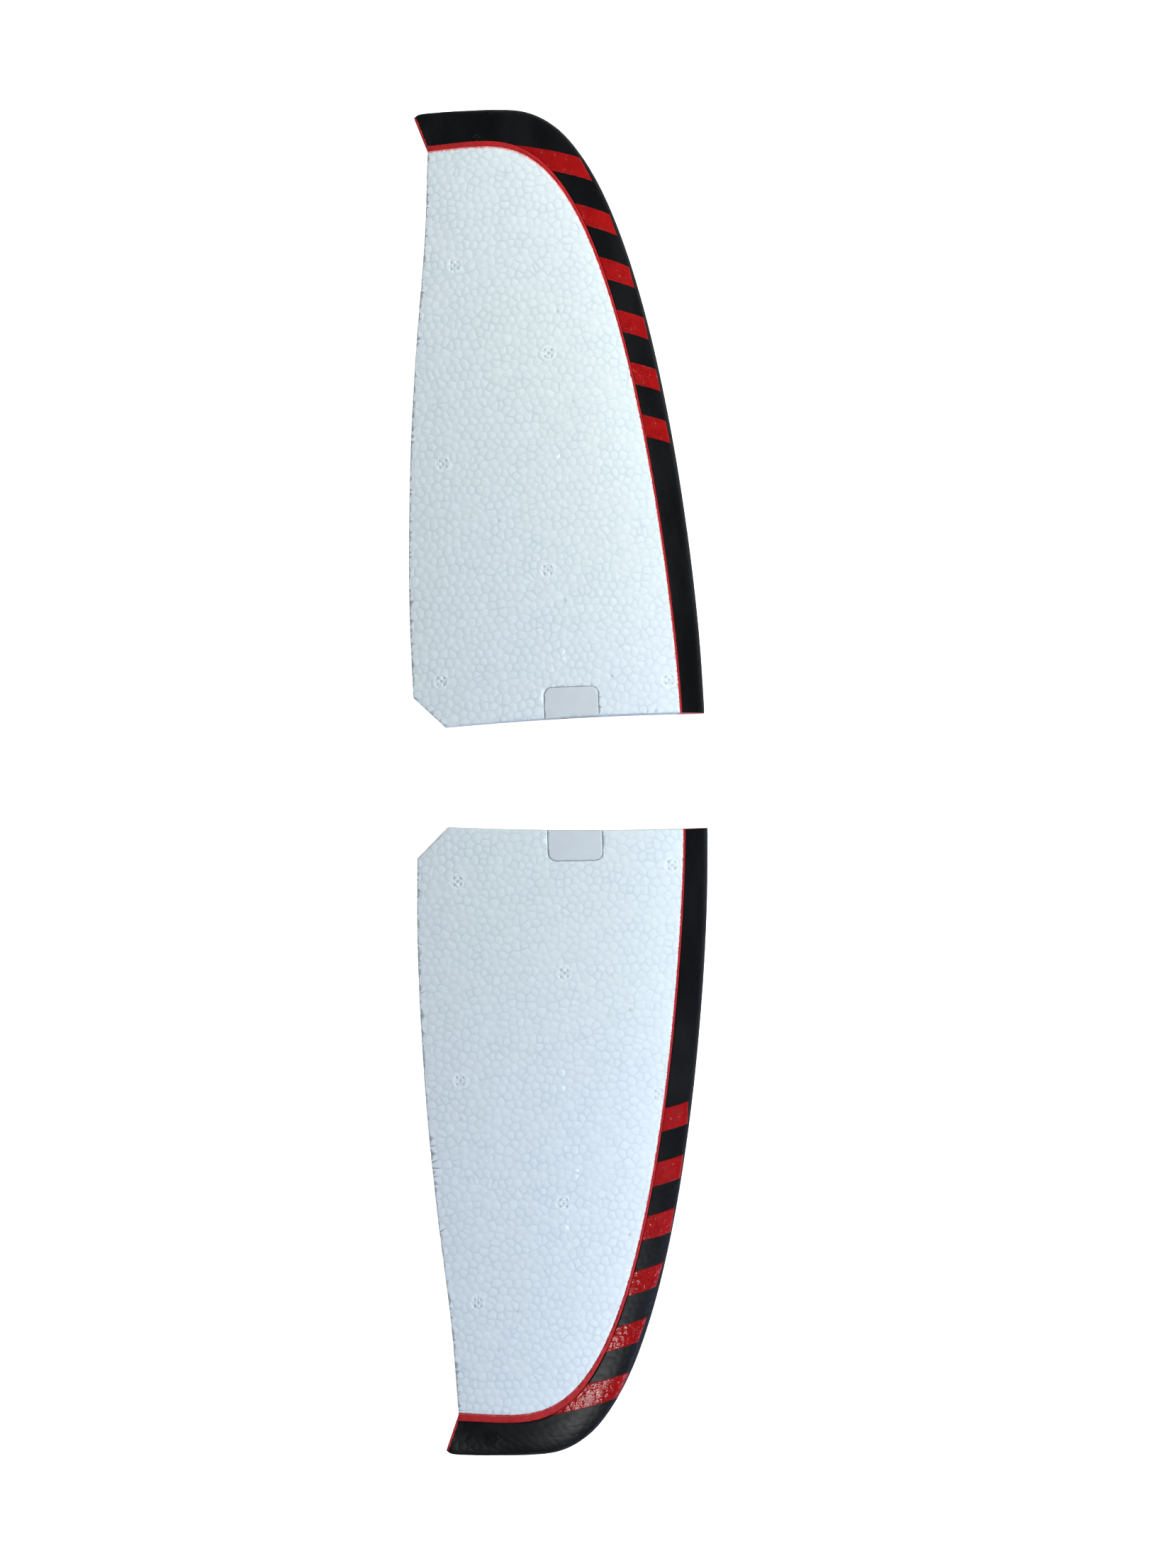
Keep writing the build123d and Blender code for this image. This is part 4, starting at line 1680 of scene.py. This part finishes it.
class TapeStrip:
    """One strip of tape over the black band."""

    ALONG, ACROSS = 44, 56
    LIFT = 0.14
    SUNK = 0.12
    RIPPLE = 0.025
    RELIEF = (0.045, 0.5, 0.05)
    AFT_GAP, AFT_REACH = 0.12, 7.0
    SLIDES, PROBE, STEEPNESS, LONGEST_SLIDE = 6, 0.05, 0.05, 3

    def __init__(self, net: WingNet, corners: Sequence[tuple[float, float]], seed: int) -> None:
        """Keeps the strip's corners.

        Args:
            net: the half's net.
            corners: aft tip-side, fore tip-side, fore root-side and aft root-side corners.
            seed: random seed of its wrinkles.
        """
        self.net, self.corners, self.seed = net, np.array(corners), seed

    @staticmethod
    def slide_to(points: Array, level: Callable[[Array], Array], aim: float) -> Array:
        """Moves points along x until a level has the wanted value, by Newton steps.

        Args:
            points: (n, 2) points.
            level: signed distance from a line.
            aim: wanted distance.

        Returns:
            The moved points.
        """
        points = points.copy()
        least, longest, probe = TapeStrip.STEEPNESS, TapeStrip.LONGEST_SLIDE, [TapeStrip.PROBE, 0.0]
        for _ in range(TapeStrip.SLIDES):
            value = level(points) - aim
            slope = (level(points + probe) - level(points - probe)) / (2 * TapeStrip.PROBE)
            slope = np.where(np.abs(slope) < least, np.sign(slope + 1e-9) * least, slope)
            points[:, 0] -= np.clip(value / slope, -longest, longest)
        return points

    def build(self) -> MeshData:
        """Makes the strip: a grid between the paint's inner edge and a line inside the rim, its
        edges turned down, its face wrinkled by crossed waves, closed with a lower copy.

        Returns:
            The closed strip.
        """
        form = self.net.form
        aft_tip, fore_tip, fore_root, aft_root = self.corners
        w = np.linspace(0, 1, self.ALONG)[:, None]
        v = np.linspace(0, 1, self.ACROSS)[None, :, None]
        aft, fore = aft_root + w * (aft_tip - aft_root), fore_root + w * (fore_tip - fore_root)
        aft_x = self.slide_to(aft, form.black_level, self.AFT_GAP)
        curved = np.where(np.abs(aft_x - aft)[:, :1] < self.AFT_REACH, aft_x, aft)
        plan = curved[:, None, :] * (1 - v) + fore[:, None, :] * v
        flat = plan.reshape(-1, 2)
        seam, _, _ = self.net.beads.seam(flat)
        share, chord = self.net.ribs.locate(flat)
        base = form.top(share, chord)
        relief = self.net.beads.relief(seam, *self.RELIEF)
        ripple = waves(flat[:, 0] * 0.9 + flat[:, 1], self.seed, (2.3, 3.9, 6.1)) * waves(
            flat[:, 1] - flat[:, 0], self.seed + 1, (3.1, 5.3))
        row, column = np.arange(self.ALONG)[:, None], np.arange(self.ACROSS)[None, :]
        from_end = np.minimum(row, self.ALONG - 1 - row)
        from_edge = np.minimum(from_end, np.minimum(column, self.ACROSS - 1 - column))
        lift = (self.LIFT * soft_step(from_edge + 0.6, 0.0, 1.6)).ravel()
        top = base + relief + lift + self.RIPPLE * ripple
        quads = grid_quads(self.ALONG, self.ACROSS)
        body = closed_sheet(flat, quads, top, base - self.SUNK, {"mark": np.zeros(len(flat))})
        body.material = [0] * len(body.faces)
        return body.outwards()


class EdgeLine:
    """Thin red line painted along the notch of the tip."""

    WIDTH, WAVINESS = 0.95, 0.22
    ROWS, COLUMNS = 60, 6
    END = 0.985
    LEAN = (1.0, 0.12)
    RAISED, FLOOR = 0.05, 0.02

    def __init__(self, net: WingNet) -> None:
        """Keeps the net it is drawn on.

        Args:
            net: the half's net.
        """
        self.net = net

    def build(self) -> MeshData:
        """Makes the line as a thin closed strip with a wavy inner edge.

        Returns:
            The strip.
        """
        form = self.net.form
        foot = np.array([float(form.trailing(np.array([form.notch_y]))[0]), form.notch_y])
        tip = np.array([foot[0] - form.notch_slant, form.half_span - form.corner_drop])

        def bare(share: Array) -> Array:
            """Which shares of the notch line lie outside the black."""
            return form.black_level(foot + share[:, None] * (tip - foot)) < 0

        low = bisect(bare, np.zeros(1), np.ones(1))[0]
        t = np.linspace(low, self.END, self.ROWS)
        rim = foot + t[:, None] * (tip - foot)
        width = self.WIDTH * (1 + self.WAVINESS * waves(t * 20, self.net.marks.seed + 9, (0.9, 2.3, 5.0)))
        v = np.linspace(0.0, 1, self.COLUMNS)
        across = (width[:, None] * v[None, :])[..., None]
        plan = rim[:, None, :] + np.array(self.LEAN)[None, None, :] * across
        flat = plan.reshape(-1, 2)
        share, chord = self.net.ribs.locate(flat + np.array([0.02, 0.0]))
        seam, _, _ = self.net.beads.seam(flat)
        top = form.top(share, chord) + self.net.beads.relief(seam, *PAINTED_RELIEF) + self.RAISED
        values = {"border": np.full(len(flat), 1.0), "mark": np.zeros(len(flat))}
        quads = grid_quads(self.ROWS, self.COLUMNS)
        body = closed_sheet(flat, quads, top, np.full(len(flat), self.FLOOR), values)
        body.material = [0] * len(body.faces)
        return body.outwards()


class WingHalf:
    """One wing half: foam, stripe, nose, tapes, plate and notch line."""

    def __init__(self, side: Side, form: PanelForm, fit: RootFit, marks: Marks) -> None:
        """Makes the half's net.

        Args:
            side: left or right.
            form: the form both halves share.
            fit: root fittings.
            marks: this half's small marks.
        """
        self.side = side
        self.net = WingNet(form, fit, marks)

    def _add(
        self, name: str, data: MeshData, paints: Sequence[bpy.types.Material], slot: str, *stands_for: str
    ) -> None:
        """Builds a piece and ties it to the frame.

        Args:
            name: piece name without the side.
            data: its mesh.
            paints: its materials.
            slot: the record's material slot; not used.
            stands_for: CAD nodes it replaces, without the side.
        """
        piece = data.build(f"{self.side.label}_{name}", self.side, paints)
        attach(piece, self.side.body)
        if stands_for:
            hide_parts(*(f"{self.side.label}_{node}" for node in stands_for))
        LOG.info("%s: %d faces", piece.name, len(piece.data.polygons))

    def build(self, palette: Palette) -> None:
        """Builds every piece.

        Args:
            palette: the finishes.
        """
        net, fit = self.net, self.net.fit
        foam, red, black = (palette.get(p) for p in (Paints.FOAM, Paints.RED, Paints.BLACK))
        edge = net.red_edge()
        far = np.array([[edge[-1, 0] - 30, edge[-1, 1]], [edge[-1, 0] - 30, -20.0], [edge[0, 0], -20.0]])
        inner = in_loop(net.middle, np.concatenate([edge, far]))
        in_slot = fit.slot_distance(net.middle) < net.SLOT_EDGES[0]
        opening = in_slot & (fit.plate_distance(net.middle) < net.POCKET_EDGES[0])
        body = net.part(inner & ~opening, net.foam_top, net.foam_under)
        self._add("foam_body", body, [foam, foam], "bead_foam", "foam_core")
        stripe = net.part(~inner, net.surface, net.foam_under)
        lower = len(stripe.faces) - int(np.sum(stripe.material)) - int((~inner).sum())
        stripe.material = [0] * lower + [1] * (len(stripe.faces) - lower)
        self._add("red_border", stripe, [red, foam], "red_paint", "border_stripe")
        self._add("nose_paint", NoseSkin(net).build(), [black, foam, red], "black_paint", "nose_skin")
        plate = fit.plate_distance(net.middle) < 0
        cover = net.part(plate, net.smooth_top + 0.03, net.smooth_top - fit.plate_thickness)
        cover.material = [0] * len(cover.faces)
        self._add("plate", cover, [palette.get(Paints.PLATE)], "grey_plastic", "cover_plate")
        for number, corners in enumerate(reversed(net.marks.tapes), start=1):
            strip = TapeStrip(net, corners, net.marks.seed + 20 + number).build()
            self._add(f"tape_{number}", strip, [palette.get(Paints.TAPE)], "red_tape", f"trim_tape_{number}")
        self._add("notch_line", EdgeLine(net).build(), [red], "red_paint")

    def dress(self, nodes: dict[str, bpy.types.Object], palette: Palette) -> None:
        """Gives the kept CAD nodes of this half their materials.

        Args:
            nodes: all CAD nodes by name.
            palette: the finishes.
        """
        kept = {"joiner_box": Paints.BOX, "spar_tube": Paints.CARBON, "tube_end_plug": Paints.RUBBER,
                "spar_slot_strip": Paints.FILLER}
        for name, paint in kept.items():
            finish_node(nodes[f"{self.side.label}_{name}"], palette.get(paint))


def finish_node(node: bpy.types.Object, material: bpy.types.Material) -> None:
    """Puts one material on a CAD node.

    Args:
        node: the node.
        material: its material.
    """
    node.data.materials.clear()
    node.data.materials.append(material)
    LOG.info("%s dressed", node.name)


# ---------------------------------------------------------------- studio


@dataclass(frozen=True)
class Lamp:
    """A soft square light that faces the origin."""

    name: str
    direction: tuple[float, float, float]
    distance: float
    size: tuple[float, float]
    power: float
    colour: tuple[float, float, float] = (1.0, 1.0, 1.0)
    target: tuple[float, float, float] = (0.0, 0.0, 0.0)
    mirrored: bool = False

    def build(self) -> bpy.types.Object:
        """Adds the light.

        Returns:
            The light object.
        """
        data = bpy.data.lights.new(self.name, "AREA")
        data.shape, data.size, data.size_y = "RECTANGLE", *self.size
        data.energy, data.color = self.power, self.colour
        lamp = bpy.data.objects.new(self.name, data)
        way = Vector(self.direction).normalized()
        lamp.location = Vector(self.target) + way * self.distance
        lamp.rotation_euler = way.to_track_quat("Z", "Y").to_euler()
        lamp.visible_glossy = self.mirrored
        bpy.context.scene.collection.objects.link(lamp)
        return lamp


class Studio:
    """White floor, soft lights and the camera."""

    FLOOR_HALF, FLOOR_Z = 4.0, -0.0008
    FLOOR_SEEN, FLOOR_MIRRORED, FLOOR_GLOW = Colour(0.94, 0.94, 0.94), Colour(0.34, 0.34, 0.35), 0.85
    SKY_SEEN, SKY_MIRRORED, SKY_POWER = Colour(0.97, 1.0, 1.03), Colour(0.08, 0.083, 0.09), 0.25
    LENS = 26.04
    SENSOR = 36.0
    CAMERA_AT = (-4.62, -16.22, 633.5)
    TURNS = (("Z", -1.496), ("X", 1.00), ("Y", -1.80))

    def floor(self) -> None:
        """White floor that glossy rays see as grey, so that the black rim stays dark."""
        size, z = self.FLOOR_HALF, self.FLOOR_Z
        mesh = bpy.data.meshes.new("studio_floor")
        corners = [(-size, -size, z), (size, -size, z), (size, size, z), (-size, size, z)]
        mesh.from_pydata(corners, [], [(0, 1, 2, 3)])
        floor = bpy.data.objects.new("studio_floor", mesh)
        bpy.context.scene.collection.objects.link(floor)
        material = bpy.data.materials.new("studio_white")
        material.use_nodes = True
        nodes = Nodes(material.node_tree)
        shader = next(n for n in material.node_tree.nodes if n.type == "BSDF_PRINCIPLED")
        shader.inputs["Roughness"].default_value = 1.0
        shader.inputs["Specular IOR Level"].default_value = 0.0
        seen = nodes.add("ShaderNodeLightPath").outputs["Is Camera Ray"]
        nodes.link(nodes.mix(seen, self.FLOOR_MIRRORED, self.FLOOR_SEEN), shader.inputs["Base Color"])
        nodes.link(nodes.math("MULTIPLY", seen, self.FLOOR_GLOW), shader.inputs["Emission Strength"])
        shader.inputs["Emission Color"].default_value = (1.0, 1.0, 1.0, 1.0)
        mesh.materials.append(material)

    def sky(self) -> None:
        """Even pale world light, darker to glossy rays."""
        world = bpy.data.worlds.new("studio_sky")
        world.use_nodes = True
        bpy.context.scene.world = world
        nodes = Nodes(world.node_tree)
        back = next(n for n in world.node_tree.nodes if n.type == "BACKGROUND")
        glossy = nodes.add("ShaderNodeLightPath").outputs["Is Glossy Ray"]
        nodes.link(nodes.mix(glossy, self.SKY_SEEN, self.SKY_MIRRORED), back.inputs["Color"])
        back.inputs["Strength"].default_value = self.SKY_POWER

    def camera(self) -> None:
        """Camera straight above, tilted and turned as the halves are seen."""
        data = bpy.data.cameras.new("studio_camera")
        data.lens, data.sensor_width, data.sensor_fit = self.LENS, self.SENSOR, "AUTO"
        data.clip_start, data.clip_end = 0.05, 20.0
        camera = bpy.data.objects.new("studio_camera", data)
        turn = Matrix.Identity(3)
        for axis, degrees in self.TURNS:
            turn = turn @ Matrix.Rotation(math.radians(degrees), 3, axis)
        camera.matrix_world = Matrix.Translation(Vector(self.CAMERA_AT) * MM) @ turn.to_4x4()
        bpy.context.scene.collection.objects.link(camera)
        bpy.context.scene.camera = camera

    def build(self) -> None:
        """Sets up the whole studio."""
        bpy.context.scene.view_settings.view_transform = "Standard"
        self.floor()
        self.sky()
        for lamp in (
            Lamp("key_right", (0.5, -0.5, 0.5), 0.87, (0.35, 0.35), 4.4, (0.87, 0.94, 1.15)),
            Lamp("key_far", (0.5, 0.7, 0.5), 0.99, (0.35, 0.35), 8.0, (1.02, 1.02, 0.95)),
            Lamp("foam_sheen", (0.15, 0.29, 0.95), 1.6, (0.22, 0.26), 1.5, mirrored=True),
            Lamp("tip_glint", (0.105, -0.611, 0.786), 1.6, (0.21, 0.21), 3.6,
                 target=(0.03, -0.33, 0.0), mirrored=True),
            Lamp("low_cool", (0.70, -0.70, 0.25), 1.6, (0.5, 0.12), 1.6, (0.50, 0.62, 1.0),
                 target=(0.0, -0.3, 0.0), mirrored=True),
        ):
            lamp.build()
        self.camera()


LEFT_MARKS = Marks(
    vents=((-4.1, 112.2), (-60.7, 174.1), (-64.8, 53.2), (60.9, 49.9), (-51.6, 285.3), (-0.6, 232.6)),
    painted_vent=(-37.9, 358.2),
    dents=((29.6, 53.0), (5.2, 255.8), (26.7, 300.1), (42.9, 265.3), (54.6, 167.7)),
    specks=((12.4, 205.0), (-30.2, 141.0)),
    tapes=(
        ((-20.1, 351.0), (20.2, 344.6), (26.9, 330.9), (5.7, 335.6)),
        ((17.5, 316.9), (35.9, 312.2), (39.8, 299.7), (23.2, 304.3)),
        ((28.7, 286.5), (46.0, 282.2), (48.7, 270.0), (33.0, 273.6)),
        ((37.4, 256.5), (53.5, 253.4), (55.7, 240.8), (40.5, 244.0)),
        ((44.5, 226.9), (59.4, 224.1), (61.6, 211.7), (47.1, 214.5)),
        ((49.8, 197.6), (63.9, 194.9), (66.2, 182.5), (52.4, 185.0)),
    ),
    seed=11,
    stripe_growth=-0.6,
)
RIGHT_MARKS = Marks(
    vents=((-58.5, 57.7), (-0.8, 109.0), (59.7, 51.6), (-59.6, 167.4), (49.1, 176.3), (-4.5, 234.3),
           (-52.9, 289.3)),
    painted_vent=(-46.2, 363.2),
    dents=((-31.1, 294.0), (22.7, 304.4)),
    specks=((34.6, 129.8), (-59.8, 188.5), (31.2, 252.4), (-42.2, 315.3), (40.4, 234.8)),
    tapes=(
        ((-15.4, 350.3), (23.4, 343.3), (29.5, 329.6), (6.6, 333.6)),
        ((17.5, 316.5), (34.8, 312.8), (40.2, 299.5), (24.2, 303.1)),
        ((30.4, 286.3), (45.6, 283.0), (49.8, 270.0), (34.6, 273.0)),
        ((39.0, 256.2), (54.6, 253.8), (56.8, 240.3), (42.7, 243.1)),
        ((46.1, 226.9), (60.7, 224.3), (62.6, 211.3), (48.9, 213.8)),
        ((51.6, 197.1), (65.4, 194.5), (65.9, 182.0), (53.9, 184.3)),
    ),
    seed=47,
    stripe_growth=0.8,
)


def main() -> None:
    """Builds both halves, dresses the kept nodes and sets up the studio."""
    logging.basicConfig(level=logging.INFO, format="%(name)s: %(message)s")
    form = PanelForm(half_span=374.4, lead_x=81.3, trail_x=-81.3, root_y=27.6)
    palette = Palette()
    for side, marks in ((Side.LEFT, LEFT_MARKS), (Side.RIGHT, RIGHT_MARKS)):
        half = WingHalf(side, form, RootFit(), marks)
        half.build(palette)
        half.dress(frame["nodes"], palette)
    finish_node(frame["nodes"]["joiner_rod"], palette.get(Paints.CARBON))
    Studio().build()


if __name__ == "__main__":
    main()
